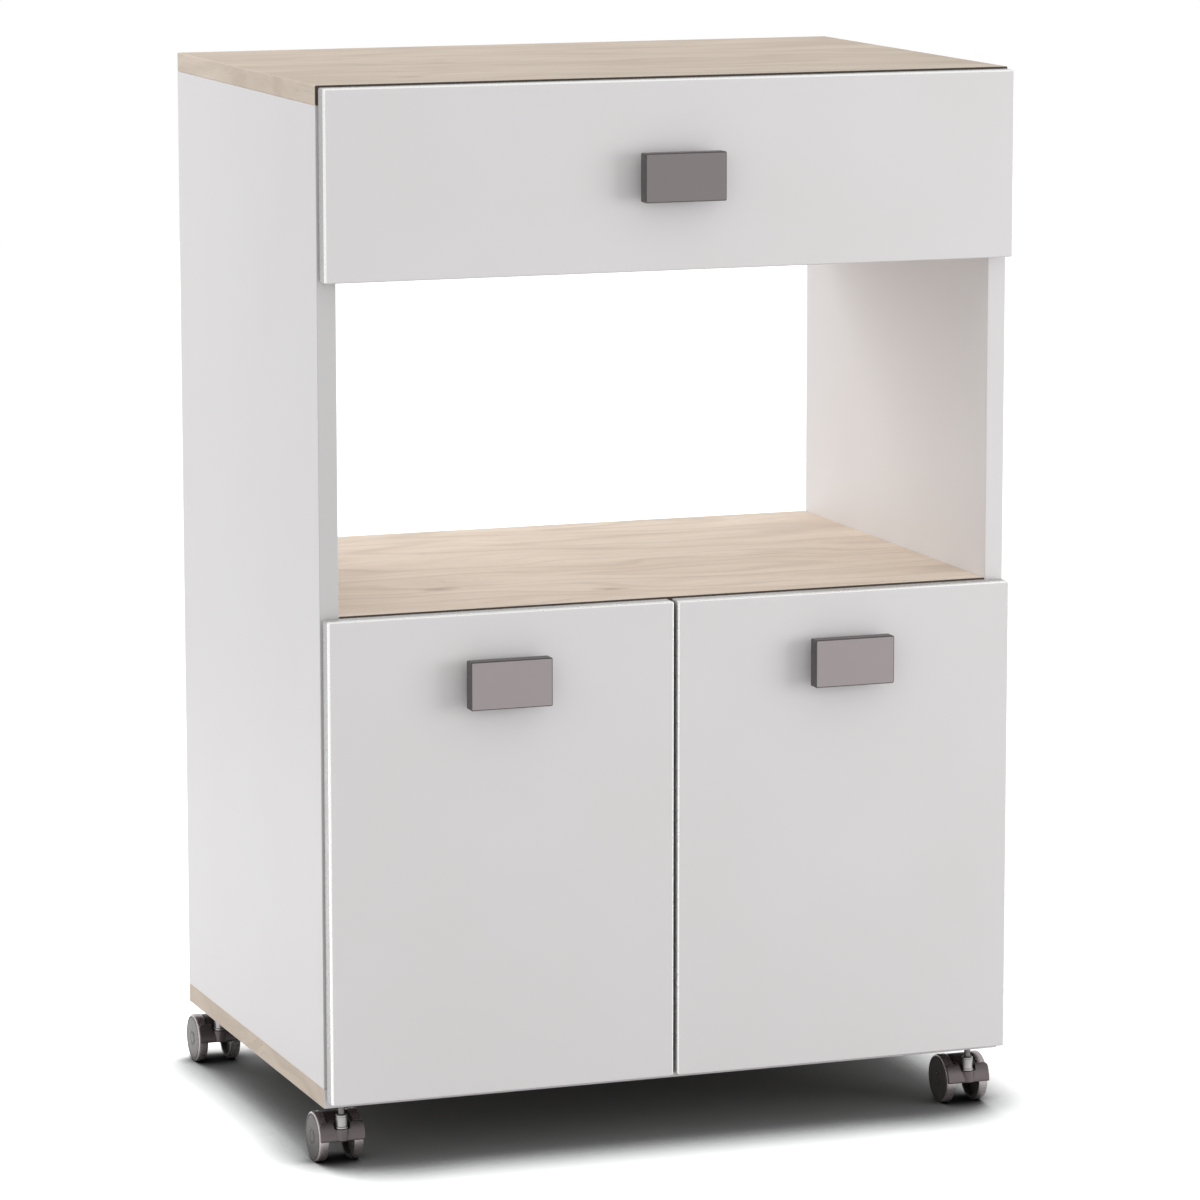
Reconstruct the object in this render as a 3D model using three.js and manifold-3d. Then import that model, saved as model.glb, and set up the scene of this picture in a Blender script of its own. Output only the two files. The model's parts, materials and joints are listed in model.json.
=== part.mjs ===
// Microwave cart: a two-tone board cabinet on four twin-wheel casters.
// It has an open niche between a drawer and a two-door cupboard.
// Millimetres, +Z up, front towards -Y, origin at the bottom centre of the bounding box.
//
// Every sub-assembly is modelled in the cart frame: x = 0 in the middle, y = 0 on the
// carcass front plane, z = 0 on the floor. The last lines centre the whole cart.
import * as THREE from 'three';
import { RoundedBoxGeometry } from 'three/addons/geometries/RoundedBoxGeometry.js';
import { mergeVertices } from 'three/addons/utils/BufferGeometryUtils.js';
import Module from 'manifold-3d';

const wasm = await Module();
wasm.setup();

// ---------------------------------------------------------------- driving sizes

// Carcass
const cartWidth = 600;
const carcassDepth = 400;
const boardThickness = 16;
const cupboardHeight = 375; // clear, between the bottom panel and the niche shelf
const nicheHeight = 273; // clear
const drawerBayHeight = 123; // clear, between the niche ceiling and the top panel
const backThickness = 3;
const backInset = 2; // nailed backs stop short of the outer faces

// Fronts
const frontThickness = 16;
const frontGap = 2.5; // air between the carcass and the closed fronts
const frontSideInset = 1.5;
const frontEdgeRadius = 1;
const doorGap = 3.5;
const doorBottomLift = 6; // doors' lower edge above the underside of the bottom panel
const doorTopReveal = 1; // niche shelf surface above the doors' upper edge
const drawerFrontTopReveal = 1.5;
const drawerFrontDrop = 1.5; // drawer front below the niche ceiling's underside

// Handles
const handleWidth = 70;
const handleHeight = 40;
const handlePlate = 12;
const handleProjection = 22;
const handleEdgeRadius = 1;
const handleFootWidth = 28;
const handleFootHeight = 16;
const doorHandleDrop = 56; // handle centre below the doors' upper edge

// Inner shelf and its pins
const shelfSideClearance = 1;
const shelfFrontSetback = 25;
const shelfRearSetback = 4;
const shelfRise = 187; // space below the inner shelf
const pinShankDiameter = 5;
const pinShankLength = 9;
const pinSupportLength = 8;
const pinSupportDiameter = 7;
const pinHoleClearance = 0.15;
const pinHolePitch = 32;
const pinHolesPerColumn = 3;
const pinFromShelfFront = 40;
const pinFromShelfRear = 46;

// Concealed hinges
const hingeFromDoorEnd = 90;
const pivotFromDoorEdge = 7;
const pivotDepth = 8.5; // behind the door's back face
const cupDiameter = 35;
const cupDepth = 12;
const cupEdgeDistance = 3;
const cupWall = 0.8;
const cupBoreClearance = 0.2;
const cupFlangeThickness = 1.2;
const cupFlangeLength = 58;
const cupFlangeWidth = 17;
const cupFlangeRound = 6;
const cupScrewSpacing = 48;
const hingePinRadius = 1.25;
const hingePinClearance = 0.2;
const hingeEyeRadius = 2.5;
const armSheet = 2;
const armBendRadius = 3; // outside
const armNeckWidth = 8;
const armWidth = 16;
const armWall = 1.4;
const armOffPanel = 3.5; // stem of the arm off the side panel's inner face
const armRise = 9; // height of the arm's channel
const armRampLength = 8;
const armBodyLength = 55;
const plateSetback = 37;
const plateThickness = 2.5;
const plateWingLength = 48;
const plateWingWidth = 14;
const plateWingRound = 6;
const plateSpineLength = 32;
const plateSpineWidth = 12;
const plateScrewSpacing = 32;
const screwHoleRadius = 2.2;

// Drawer box
const drawerBoardThickness = 12;
const drawerTopSpace = 27; // air between the drawer sides and the top panel
const drawerRearSpace = 52.5; // from the drawer box to the back panel
const drawerBottomThickness = 3;
const drawerBottomLift = 10; // underside of the bottom above the sides' lower edge
const grooveDepth = 5;
const grooveClearance = 0.2;

// Roller runners
const runnerClearance = 12.5; // side panel to drawer side
const runnerLift = 8; // cabinet member above the niche ceiling panel
const runnerSheet = 1.2;
const runnerSetback = 3;
const cabinetRunnerLip = 3;
const drawerRunnerSetback = 1.5; // behind the drawer front
const drawerRunnerEndSetback = 3.5; // short of the drawer box's rear end
const drawerRunnerSole = 10; // flange that carries the drawer side
const drawerRunnerFlangeReach = 10;
const drawerSideAboveRunnerBase = -2; // drawer side's lower edge to the cabinet member's underside
const rollerRadius = 8.5;
const rollerWidth = 6.5;
const rollerFromPanel = 1.8;
const rollerRunningGap = 0.1;
const rollerToFlange = 0.7; // rear roller to the running flange above it
const rollerToLip = 0.5;
const flangeToLip = 2.8; // running flange to the cabinet member's upper lip
const rollerPinRadius = 2.5;
const rollerPinClearance = 0.2;
const rollerPinHeadRadius = 4;
const rollerPinHeadLength = 1;
const rollerSideGap = 0.3;
const frontRollerFromEnd = 12;
const rearRollerFromEnd = 10;

// Casters
const wheelToCabinet = 11; // air above the wheels
const casterSideInset = 20; // stem axis from the outer side face
const casterFrontInset = 17;
const casterRearInset = 25;
const casterTrail = 19;
const wheelRadius = 21;
const wheelWidth = 9;
const wheelSpacing = 21; // between the inner faces of the two wheels
const wheelHubRadius = 6;
const wheelRimDepth = 4;
const wheelRecess = 5;
const wheelRecessDraft = 0.5;
const wheelTreadRound = 1.5;
const wheelDishDepth = 0.4; // of the outer disc's rim below its middle
const axleRadius = 2.5;
const axleClearance = 0.2;
const axleSeatDepth = 6.5; // of the axle in each wheel
const stemRadius = 3;
const stemBoreClearance = 0.3;
const stemInBoard = 12;
const stemCollarRadius = 5.5;
const stemNeckLength = 10; // bare stem between the collar and the cabinet
const hoodTopAboveHub = 10; // seat of the stem's collar, above the wheels' middle
const hoodSeatMargin = 1; // of that seat beyond the collar
const hoodSideGap = 0.5; // to the inner face of each wheel
const hoodWebRadius = 20.2; // about the axle, between the wheels
const hoodHeelAngle = 0.25; // radians about the axle, where the web ends behind it
const hoodAxleBossRadius = 5.5;
const hoodBossSweep = 3.15; // radians of the boss below the axle
const hoodWebFromAxle = 9.7; // where the boss meets the flat underside
const hoodFenderToWheel = 0.6;
const hoodFenderThickness = 2.6;
const hoodFenderSideInset = 0.5; // from the outer face of each wheel
const hoodFenderTopAngle = 2.42; // radians about the axle, where the fender ends above the treads
const hoodFenderLap = 0.05; // radians of the web's shoulder below the fender's upper end
const hoodCollarNotch = 1.5; // air beside the collar

// Facets
const wheelSides = 24;
const cupSides = 24;
const roundSides = 16;
const smallSides = 12;
const cornerSteps = 3; // per quarter turn of a small corner
const bendSteps = 4; // per bend of a sheet or moulding
const fenderSteps = 6; // per arc of a caster hood

// ---------------------------------------------------------------- worked-out places

const halfWidth = cartWidth / 2;
const innerHalf = halfWidth - boardThickness;
const carcassUnderside = 2 * wheelRadius + wheelToCabinet;
const bottomPanelTop = carcassUnderside + boardThickness;
const nicheShelfUnderside = bottomPanelTop + cupboardHeight;
const nicheShelfTop = nicheShelfUnderside + boardThickness;
const nicheCeilingUnderside = nicheShelfTop + nicheHeight;
const nicheCeilingTop = nicheCeilingUnderside + boardThickness;
const topPanelUnderside = nicheCeilingTop + drawerBayHeight;
const cartHeight = topPanelUnderside + boardThickness;
const shelfUnderside = bottomPanelTop + shelfRise;

const frontBackPlane = -frontGap;
const frontFacePlane = frontBackPlane - frontThickness;
const frontOuterEdge = halfWidth - frontSideInset;
const doorBottom = carcassUnderside + doorBottomLift;
const doorTop = nicheShelfTop - doorTopReveal;
const doorWidth = frontOuterEdge - doorGap / 2;
const drawerFrontBottom = nicheCeilingUnderside - drawerFrontDrop;
const drawerFrontTop = cartHeight - drawerFrontTopReveal;

const pivotX = frontOuterEdge - pivotFromDoorEdge;
const pivotY = frontBackPlane - pivotDepth;
const hingeLevels = { lower: doorBottom + hingeFromDoorEnd, upper: doorTop - hingeFromDoorEnd };

const runnerBase = nicheCeilingTop + runnerLift;
const drawerBoxBottom = runnerBase + drawerSideAboveRunnerBase;
const drawerBoxHalf = innerHalf - runnerClearance;
const drawerBoxHeight = topPanelUnderside - drawerTopSpace - drawerBoxBottom;
const drawerBoxLength = carcassDepth - drawerRearSpace - frontBackPlane;
const drawerRunnerLength = drawerBoxLength - drawerRunnerSetback - drawerRunnerEndSetback;

// The wheels are faceted, and each stands on one flat of its tread.
const treadFlat = wheelRadius * Math.cos(Math.PI / wheelSides);
const axleHeight = treadFlat;
const hoodTop = wheelRadius + hoodTopAboveHub;
const hoodUnderside = wheelRadius;

// ---------------------------------------------------------------- finishes

const finish = (color, roughness, metalness = 0) =>
  new THREE.MeshStandardMaterial({ color, roughness, metalness });

const oak = () => finish(0xd8c3ab, 0.55);
const white = () => finish(0xdedcda, 0.5);
const hardboard = () => finish(0xcfcac2, 0.7);
const handleGrey = () => finish(0x8f8784, 0.45);
const casterGrey = () => finish(0x5c5654, 0.4);
const steel = () => finish(0xb9b6b4, 0.35, 0.9);
const runnerWhite = () => finish(0xe6e4e0, 0.45);
const nylon = () => finish(0xd9d7d2, 0.5);

// ---------------------------------------------------------------- solid helpers

/** Closed three.js geometry to a solid that can be cut and joined. */
function toSolid(geometry) {
  const bare = geometry.clone();
  bare.deleteAttribute('normal');
  bare.deleteAttribute('uv');
  const welded = mergeVertices(bare, 1e-4);
  return new wasm.Manifold(new wasm.Mesh({
    numProp: 3,
    vertProperties: new Float32Array(welded.attributes.position.array),
    triVerts: new Uint32Array(welded.index.array),
  }));
}

/** Solid back to a three.js geometry. */
function toGeometry(solid) {
  const { vertProperties, triVerts } = solid.getMesh();
  const geometry = new THREE.BufferGeometry();
  geometry.setAttribute('position', new THREE.BufferAttribute(vertProperties, 3));
  geometry.setIndex(new THREE.BufferAttribute(triVerts, 1));
  geometry.computeVertexNormals();
  return geometry;
}

/** Base geometry without the space of each tool geometry. */
function cut(base, ...tools) {
  return toGeometry(tools.reduce((solid, tool) => solid.subtract(toSolid(tool)), toSolid(base)));
}

/** All geometries as one body. */
function join(base, ...others) {
  return toGeometry(others.reduce((solid, other) => solid.add(toSolid(other)), toSolid(base)));
}

/** Box between two opposite corners. */
function block(low, high) {
  const size = high.map((value, i) => value - low[i]);
  const middle = high.map((value, i) => (value + low[i]) / 2);
  return new THREE.BoxGeometry(...size).translate(...middle);
}

/** Rectangle with round corners, centred on the origin. */
function roundedPlate(width, height, radius) {
  const x = width / 2;
  const y = height / 2;
  const shape = new THREE.Shape();
  shape.moveTo(radius - x, -y);
  shape.lineTo(x - radius, -y);
  shape.absarc(x - radius, radius - y, radius, -Math.PI / 2, 0, false);
  shape.lineTo(x, y - radius);
  shape.absarc(x - radius, y - radius, radius, 0, Math.PI / 2, false);
  shape.lineTo(radius - x, y);
  shape.absarc(radius - x, y - radius, radius, Math.PI / 2, Math.PI, false);
  shape.lineTo(-x, radius - y);
  shape.absarc(radius - x, radius - y, radius, Math.PI, 1.5 * Math.PI, false);
  return shape;
}

/** Cylinder centred on the origin, along x, y or z. */
function rod(radius, length, axis, sides = roundSides) {
  const geometry = new THREE.CylinderGeometry(radius, radius, length, sides);
  if (axis === 'x') geometry.rotateZ(Math.PI / 2);
  if (axis === 'z') geometry.rotateX(Math.PI / 2);
  return geometry;
}

/** Outline through the given points, joined by straight lines. */
function outline(points) {
  return new THREE.Shape(points.map(([x, y]) => new THREE.Vector2(x, y)));
}

/** An (x, z) section drawn out along y, from y = 0 to y = length. */
function drawnAlongY(shape, length) {
  const geometry = new THREE.ExtrudeGeometry(shape, { depth: length, bevelEnabled: false });
  return geometry.rotateX(Math.PI / 2).translate(0, length, 0);
}

/** A (y, z) side view given a width along x, centred on x = 0. */
function widenedAlongX(shape, width, curveSegments) {
  const settings = { depth: width, bevelEnabled: false, curveSegments };
  const geometry = new THREE.ExtrudeGeometry(shape, settings).translate(0, 0, -width / 2);
  return geometry.rotateY(Math.PI / 2).rotateX(Math.PI / 2);
}

/** An (x, y) plan given a height along z, centred on z = 0. */
function raisedAlongZ(shape, height, curveSegments) {
  const settings = { depth: height, bevelEnabled: false, curveSegments };
  return new THREE.ExtrudeGeometry(shape, settings).translate(0, 0, -height / 2);
}

/** Named mesh at a place. */
function piece(name, geometry, material, [x, y, z] = [0, 0, 0]) {
  const mesh = new THREE.Mesh(geometry, material);
  mesh.name = name;
  mesh.position.set(x, y, z);
  return mesh;
}

/** Board between two opposite corners, with optional cuts given in the same frame. */
function board(name, material, low, high, cuts = []) {
  const size = high.map((value, i) => value - low[i]);
  const middle = high.map((value, i) => (value + low[i]) / 2);
  const plain = new THREE.BoxGeometry(...size);
  const tools = cuts.map((tool) => tool.clone().translate(...middle.map((value) => -value)));
  return piece(name, tools.length > 0 ? cut(plain, ...tools) : plain, material, middle);
}

// ---------------------------------------------------------------- carcass

const casterSpots = [
  { name: 'front_left', x: casterSideInset - halfWidth, y: casterFrontInset },
  { name: 'front_right', x: halfWidth - casterSideInset, y: casterFrontInset },
  { name: 'rear_left', x: casterSideInset - halfWidth, y: carcassDepth - casterRearInset },
  { name: 'rear_right', x: halfWidth - casterSideInset, y: carcassDepth - casterRearInset },
];

const pinColumns = {
  front: shelfFrontSetback + pinFromShelfFront,
  rear: carcassDepth - shelfRearSetback - pinFromShelfRear,
};
const pinAxisHeight = shelfUnderside - pinSupportDiameter / 2;

/** Blind shelf-pin holes of one side panel, in two columns. */
function shelfPinHoles(side) {
  const depth = pinShankLength + pinHoleClearance;
  const radius = pinShankDiameter / 2 + pinHoleClearance;
  const holes = [];
  for (const y of Object.values(pinColumns)) {
    for (let i = 0; i < pinHolesPerColumn; i += 1) {
      const z = pinAxisHeight + (i - (pinHolesPerColumn - 1) / 2) * pinHolePitch;
      const hole = rod(radius, 2 * depth, 'x', smallSides);
      holes.push(hole.translate(side * innerHalf, y, z));
    }
  }
  return holes;
}

function makeCarcass() {
  const carcass = new THREE.Group();
  const stemHoles = casterSpots.map(({ x, y }) => {
    const depth = stemInBoard + stemBoreClearance;
    return rod(stemRadius + stemBoreClearance, 2 * depth, 'z').translate(x, y, carcassUnderside);
  });
  carcass.add(
    board('bottom_panel', oak(), [-halfWidth, 0, carcassUnderside],
      [halfWidth, carcassDepth, bottomPanelTop], stemHoles),
    board('top_panel', oak(), [-halfWidth, 0, topPanelUnderside],
      [halfWidth, carcassDepth, cartHeight]),
    board('side_panel_left', white(), [-halfWidth, 0, bottomPanelTop],
      [-innerHalf, carcassDepth, topPanelUnderside], shelfPinHoles(-1)),
    board('side_panel_right', white(), [innerHalf, 0, bottomPanelTop],
      [halfWidth, carcassDepth, topPanelUnderside], shelfPinHoles(1)),
    board('niche_shelf', oak(), [-innerHalf, 0, nicheShelfUnderside],
      [innerHalf, carcassDepth, nicheShelfTop]),
    board('niche_ceiling', white(), [-innerHalf, 0, nicheCeilingUnderside],
      [innerHalf, carcassDepth, nicheCeilingTop]),
    board('cupboard_back', hardboard(),
      [backInset - halfWidth, carcassDepth, carcassUnderside + backInset],
      [halfWidth - backInset, carcassDepth + backThickness, nicheShelfTop - backInset]),
    board('drawer_bay_back', hardboard(),
      [backInset - halfWidth, carcassDepth, nicheCeilingUnderside + backInset],
      [halfWidth - backInset, carcassDepth + backThickness, cartHeight - backInset]),
  );
  return carcass;
}

/** Inner shelf lying on four pins. */
function makeInnerShelf() {
  const group = new THREE.Group();
  const shelfHalf = innerHalf - shelfSideClearance;
  group.add(board('cupboard_shelf', white(), [-shelfHalf, shelfFrontSetback, shelfUnderside],
    [shelfHalf, carcassDepth - shelfRearSetback, shelfUnderside + boardThickness]));
  for (const [end, y] of Object.entries(pinColumns)) {
    for (const [label, side] of [['left', -1], ['right', 1]]) {
      const shank = rod(pinShankDiameter / 2, pinShankLength, 'x', smallSides)
        .translate(pinShankLength / 2, 0, 0);
      const support = rod(pinSupportDiameter / 2, pinSupportLength, 'x', smallSides)
        .translate(-pinSupportLength / 2, 0, 0);
      const pin = piece(`shelf_pin_${end}_${label}`, join(shank, support), steel(),
        [side * innerHalf, y, pinAxisHeight]);
      if (side < 0) pin.rotation.z = Math.PI;
      group.add(pin);
    }
  }
  return group;
}

// ---------------------------------------------------------------- fronts and handles

/** Handle: a thick rectangular plate on a smaller foot. Its foot stands on y = 0, facing -y. */
function handleGeometry() {
  const plate = new RoundedBoxGeometry(handleWidth, handlePlate, handleHeight, 1, handleEdgeRadius);
  const foot = block([-handleFootWidth / 2, handlePlate / 2 - handleProjection, -handleFootHeight / 2],
    [handleFootWidth / 2, 0, handleFootHeight / 2]);
  return join(plate.translate(0, handlePlate / 2 - handleProjection, 0), foot);
}

/** Bore for one hinge cup, from the pivot's frame. */
function cupBore() {
  const depth = cupDepth + cupBoreClearance;
  return rod(cupDiameter / 2 + cupBoreClearance, 2 * depth, 'y', cupSides)
    .translate(cupCentreFromPivot, pivotDepth, 0);
}

const cupCentreFromPivot = cupEdgeDistance + cupDiameter / 2 - pivotFromDoorEdge;

/** Hinge cup: a drawn steel bowl with two screw wings, and the pin that the arm turns on. */
function hingeCupGeometry() {
  const outer = cupDiameter / 2;
  const inner = outer - cupWall;
  const floor = pivotDepth - cupDepth;
  const rim = pivotDepth + cupFlangeThickness;
  const bowl = new THREE.LatheGeometry([
    new THREE.Vector2(0, floor),
    new THREE.Vector2(outer, floor),
    new THREE.Vector2(outer, rim),
    new THREE.Vector2(inner, rim),
    new THREE.Vector2(inner, floor + cupWall),
    new THREE.Vector2(0, floor + cupWall),
  ], cupSides);
  const flangePlan = roundedPlate(cupFlangeWidth, cupFlangeLength, cupFlangeRound);
  const flange = raisedAlongZ(flangePlan, cupFlangeThickness, cornerSteps)
    .rotateX(Math.PI / 2).translate(0, pivotDepth + cupFlangeThickness / 2, 0);
  const mouth = rod(inner, 4 * cupFlangeThickness, 'y', cupSides).translate(0, rim, 0);
  const screws = [-1, 1].map((end) => rod(screwHoleRadius, 4 * cupFlangeThickness, 'y', smallSides)
    .translate(0, rim, end * cupScrewSpacing / 2));
  const cup = join(bowl, cut(flange, mouth, ...screws)).translate(cupCentreFromPivot, 0, 0);
  const pinFarSide = cupCentreFromPivot + hingePinRadius;
  const pinHalf = Math.sqrt((outer - cupWall / 2) ** 2 - pinFarSide ** 2);
  return join(cup, rod(hingePinRadius, 2 * pinHalf, 'z', smallSides));
}

/**
 * Hinge arm, turned about the pivot at the origin: x inwards from the side panel, y into the
 * cabinet. A goose neck leaves the cup, then a channel runs back over the mounting plate.
 */
function hingeArmGeometry() {
  const panelFace = boardThickness - frontSideInset - pivotFromDoorEdge;
  const carcassPlane = -pivotY;
  const stemNear = panelFace + armOffPanel;
  const stemFar = stemNear + armSheet;
  const web = stemNear + armRise;
  const bodyStart = carcassPlane + armSheet;
  const bodyEnd = carcassPlane + armBodyLength;
  const bend = armBendRadius;

  const neckShape = new THREE.Shape();
  neckShape.moveTo(0, -armSheet);
  neckShape.lineTo(stemFar - bend, -armSheet);
  neckShape.absarc(stemFar - bend, bend - armSheet, bend, -Math.PI / 2, 0, false);
  neckShape.lineTo(stemFar, bodyStart + armWall);
  neckShape.lineTo(stemNear, bodyStart + armWall);
  neckShape.lineTo(stemNear, bend - armSheet);
  neckShape.absarc(stemFar - bend, bend - armSheet, bend - armSheet, 0, -Math.PI / 2, true);
  neckShape.lineTo(0, 0);
  const neck = raisedAlongZ(neckShape, armNeckWidth, bendSteps);
  const eye = rod(hingeEyeRadius, armNeckWidth, 'z');

  const body = raisedAlongZ(outline([
    [stemNear, bodyStart],
    [stemFar, bodyStart],
    [web, bodyStart + armRampLength],
    [web, bodyEnd],
    [stemNear, bodyEnd],
  ]), armWidth);
  const hollow = raisedAlongZ(outline([
    [stemNear - armWall, bodyStart + armWall],
    [stemFar - armWall, bodyStart + armWall],
    [web - armWall, bodyStart + armRampLength + armWall / 2],
    [web - armWall, bodyEnd + armWall],
    [stemNear - armWall, bodyEnd + armWall],
  ]), armWidth - 2 * armWall);

  const plateCentre = carcassPlane + plateSetback;
  const wingPlan = roundedPlate(plateWingLength, plateWingWidth, plateWingRound);
  const wings = raisedAlongZ(wingPlan, plateThickness, cornerSteps)
    .rotateY(Math.PI / 2).translate(panelFace + plateThickness / 2, plateCentre, 0);
  const spine = block([panelFace, plateCentre - plateSpineLength / 2, -plateSpineWidth / 2],
    [web - armWall / 2, plateCentre + plateSpineLength / 2, plateSpineWidth / 2]);
  const screws = [-1, 1].map((end) => rod(screwHoleRadius, 4 * plateThickness, 'x', smallSides)
    .translate(panelFace, plateCentre, end * plateScrewSpacing / 2));
  const pinBore = rod(hingePinRadius + hingePinClearance, 2 * armNeckWidth, 'z', smallSides);
  return cut(join(cut(body, hollow), neck, eye, wings, spine), pinBore, ...screws);
}

/** Door leaf hung on its two hinges; the group's origin is the hinge line, so it can be turned. */
function makeDoor(label, side) {
  const door = new THREE.Group();
  door.position.set(side * pivotX, pivotY, 0);
  const height = doorTop - doorBottom;
  const middleZ = (doorTop + doorBottom) / 2;
  const middleX = -side * (doorWidth / 2 - pivotFromDoorEdge);
  const middleY = pivotDepth - frontThickness / 2;
  const leaf = new RoundedBoxGeometry(doorWidth, frontThickness, height, 1, frontEdgeRadius);
  const bores = Object.values(hingeLevels).map((z) => {
    const bore = cupBore();
    if (side > 0) bore.rotateY(Math.PI);
    return bore.translate(-middleX, -middleY, z - middleZ);
  });
  door.add(piece(`door_${label}`, cut(leaf, ...bores), white(), [middleX, middleY, middleZ]));
  for (const [level, z] of Object.entries(hingeLevels)) {
    const cup = piece(`hinge_cup_${level}_${label}`, hingeCupGeometry(), steel(), [0, 0, z]);
    if (side > 0) cup.rotation.y = Math.PI;
    door.add(cup);
  }
  door.add(piece(`door_handle_${label}`, handleGeometry(), handleGrey(),
    [middleX, pivotDepth - frontThickness, doorTop - doorHandleDrop]));
  return door;
}

/** The two hinge arms that carry one door, on the side panel. */
function makeHingeArms(label, side) {
  const arms = new THREE.Group();
  arms.position.set(side * pivotX, pivotY, 0);
  for (const [level, z] of Object.entries(hingeLevels)) {
    const arm = piece(`hinge_arm_${level}_${label}`, hingeArmGeometry(), steel(), [0, 0, z]);
    if (side > 0) arm.rotation.y = Math.PI;
    arms.add(arm);
  }
  return arms;
}

// ---------------------------------------------------------------- drawer

function makeDrawer() {
  const drawer = new THREE.Group();
  drawer.position.set(0, frontBackPlane, drawerBoxBottom);
  const inner = drawerBoxHalf - drawerBoardThickness;
  const bottomTop = drawerBottomLift + drawerBottomThickness;
  const bottomHalf = inner + grooveDepth - grooveClearance;
  const groove = block(
    [-inner - grooveDepth, -grooveDepth, drawerBottomLift - grooveClearance],
    [inner + grooveDepth, drawerBoxLength + grooveDepth, bottomTop + grooveClearance],
  );

  const frontLow = drawerFrontBottom - drawerBoxBottom;
  const frontHigh = drawerFrontTop - drawerBoxBottom;
  const frontMiddle = (frontLow + frontHigh) / 2;
  const frontSize = [2 * frontOuterEdge, frontThickness, frontHigh - frontLow];
  const front = new RoundedBoxGeometry(...frontSize, 1, frontEdgeRadius)
    .translate(0, -frontThickness / 2, 0);
  drawer.add(
    piece('drawer_front', cut(front, groove.clone().translate(0, 0, -frontMiddle)), white(),
      [0, 0, frontMiddle]),
    board('drawer_side_left', white(), [-drawerBoxHalf, 0, 0],
      [-inner, drawerBoxLength, drawerBoxHeight], [groove]),
    board('drawer_side_right', white(), [inner, 0, 0],
      [drawerBoxHalf, drawerBoxLength, drawerBoxHeight], [groove]),
    board('drawer_back', white(), [-inner, drawerBoxLength - drawerBoardThickness, bottomTop],
      [inner, drawerBoxLength, drawerBoxHeight]),
    board('drawer_bottom', hardboard(), [-bottomHalf, grooveClearance - grooveDepth, drawerBottomLift],
      [bottomHalf, drawerBoxLength, bottomTop]),
    piece('drawer_handle', handleGeometry(), handleGrey(), [0, -frontThickness, frontMiddle]),
  );
  return drawer;
}

const rollerCentre = rollerFromPanel + rollerWidth / 2;
const rearRollerHeight = runnerSheet + rollerRunningGap + rollerRadius;
const runningFlangeUnderside = rearRollerHeight + rollerRadius + rollerToFlange;
const frontRollerHeight = runningFlangeUnderside - rollerRunningGap - rollerRadius;

/** Cabinet member: a C-section with lips, and the pin of the front roller. */
function cabinetRunnerGeometry(side) {
  const w = rollerFromPanel + rollerWidth + rollerToLip + runnerSheet;
  const h = runningFlangeUnderside + runnerSheet + flangeToLip + cabinetRunnerLip;
  const t = runnerSheet;
  const lip = cabinetRunnerLip;
  const section = [
    [0, 0], [w, 0], [w, lip], [w - t, lip], [w - t, t], [t, t],
    [t, h - t], [w - t, h - t], [w - t, h - lip], [w, h - lip], [w, h], [0, h],
  ].map(([s, z]) => [-side * s, z]);
  const channel = drawnAlongY(outline(section), drawerBoxLength);
  const shankEnd = rollerFromPanel + rollerWidth + rollerSideGap;
  const shank = rod(rollerPinRadius, shankEnd, 'x').translate(-side * shankEnd / 2, 0, 0);
  const head = rod(rollerPinHeadRadius, rollerPinHeadLength, 'x')
    .translate(-side * (shankEnd + rollerPinHeadLength / 2), 0, 0);
  const pin = join(shank, head).translate(0, frontRollerFromEnd, frontRollerHeight);
  return join(channel, pin);
}

/** Drawer member: web, sole under the drawer side, running flange, and the rear roller's pin. */
function drawerRunnerGeometry(side) {
  const web = runnerClearance - runnerSheet;
  const soleTop = drawerSideAboveRunnerBase;
  const flangeTop = runningFlangeUnderside + runnerSheet;
  const section = [
    [web, soleTop - runnerSheet],
    [runnerClearance + drawerRunnerSole, soleTop - runnerSheet],
    [runnerClearance + drawerRunnerSole, soleTop],
    [runnerClearance, soleTop],
    [runnerClearance, flangeTop],
    [runnerClearance - drawerRunnerFlangeReach, flangeTop],
    [runnerClearance - drawerRunnerFlangeReach, runningFlangeUnderside],
    [web, runningFlangeUnderside],
  ].map(([s, z]) => [-side * s, z]);
  const angle = drawnAlongY(outline(section), drawerRunnerLength);
  const shoulderEnd = rollerFromPanel + rollerWidth + rollerSideGap;
  const reach = web + runnerSheet / 2;
  const shoulder = block([0, -rollerPinHeadRadius, -rollerPinHeadRadius],
    [reach - shoulderEnd, rollerPinHeadRadius, rollerPinHeadRadius]).translate(shoulderEnd, 0, 0);
  const shankStart = rollerFromPanel + rollerSideGap;
  const shank = rod(rollerPinRadius, reach - shankStart, 'x').translate((reach + shankStart) / 2, 0, 0);
  const pin = join(shoulder, shank).rotateZ(side > 0 ? Math.PI : 0)
    .translate(0, drawerRunnerLength - rearRollerFromEnd, rearRollerHeight);
  return join(angle, pin);
}

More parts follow.
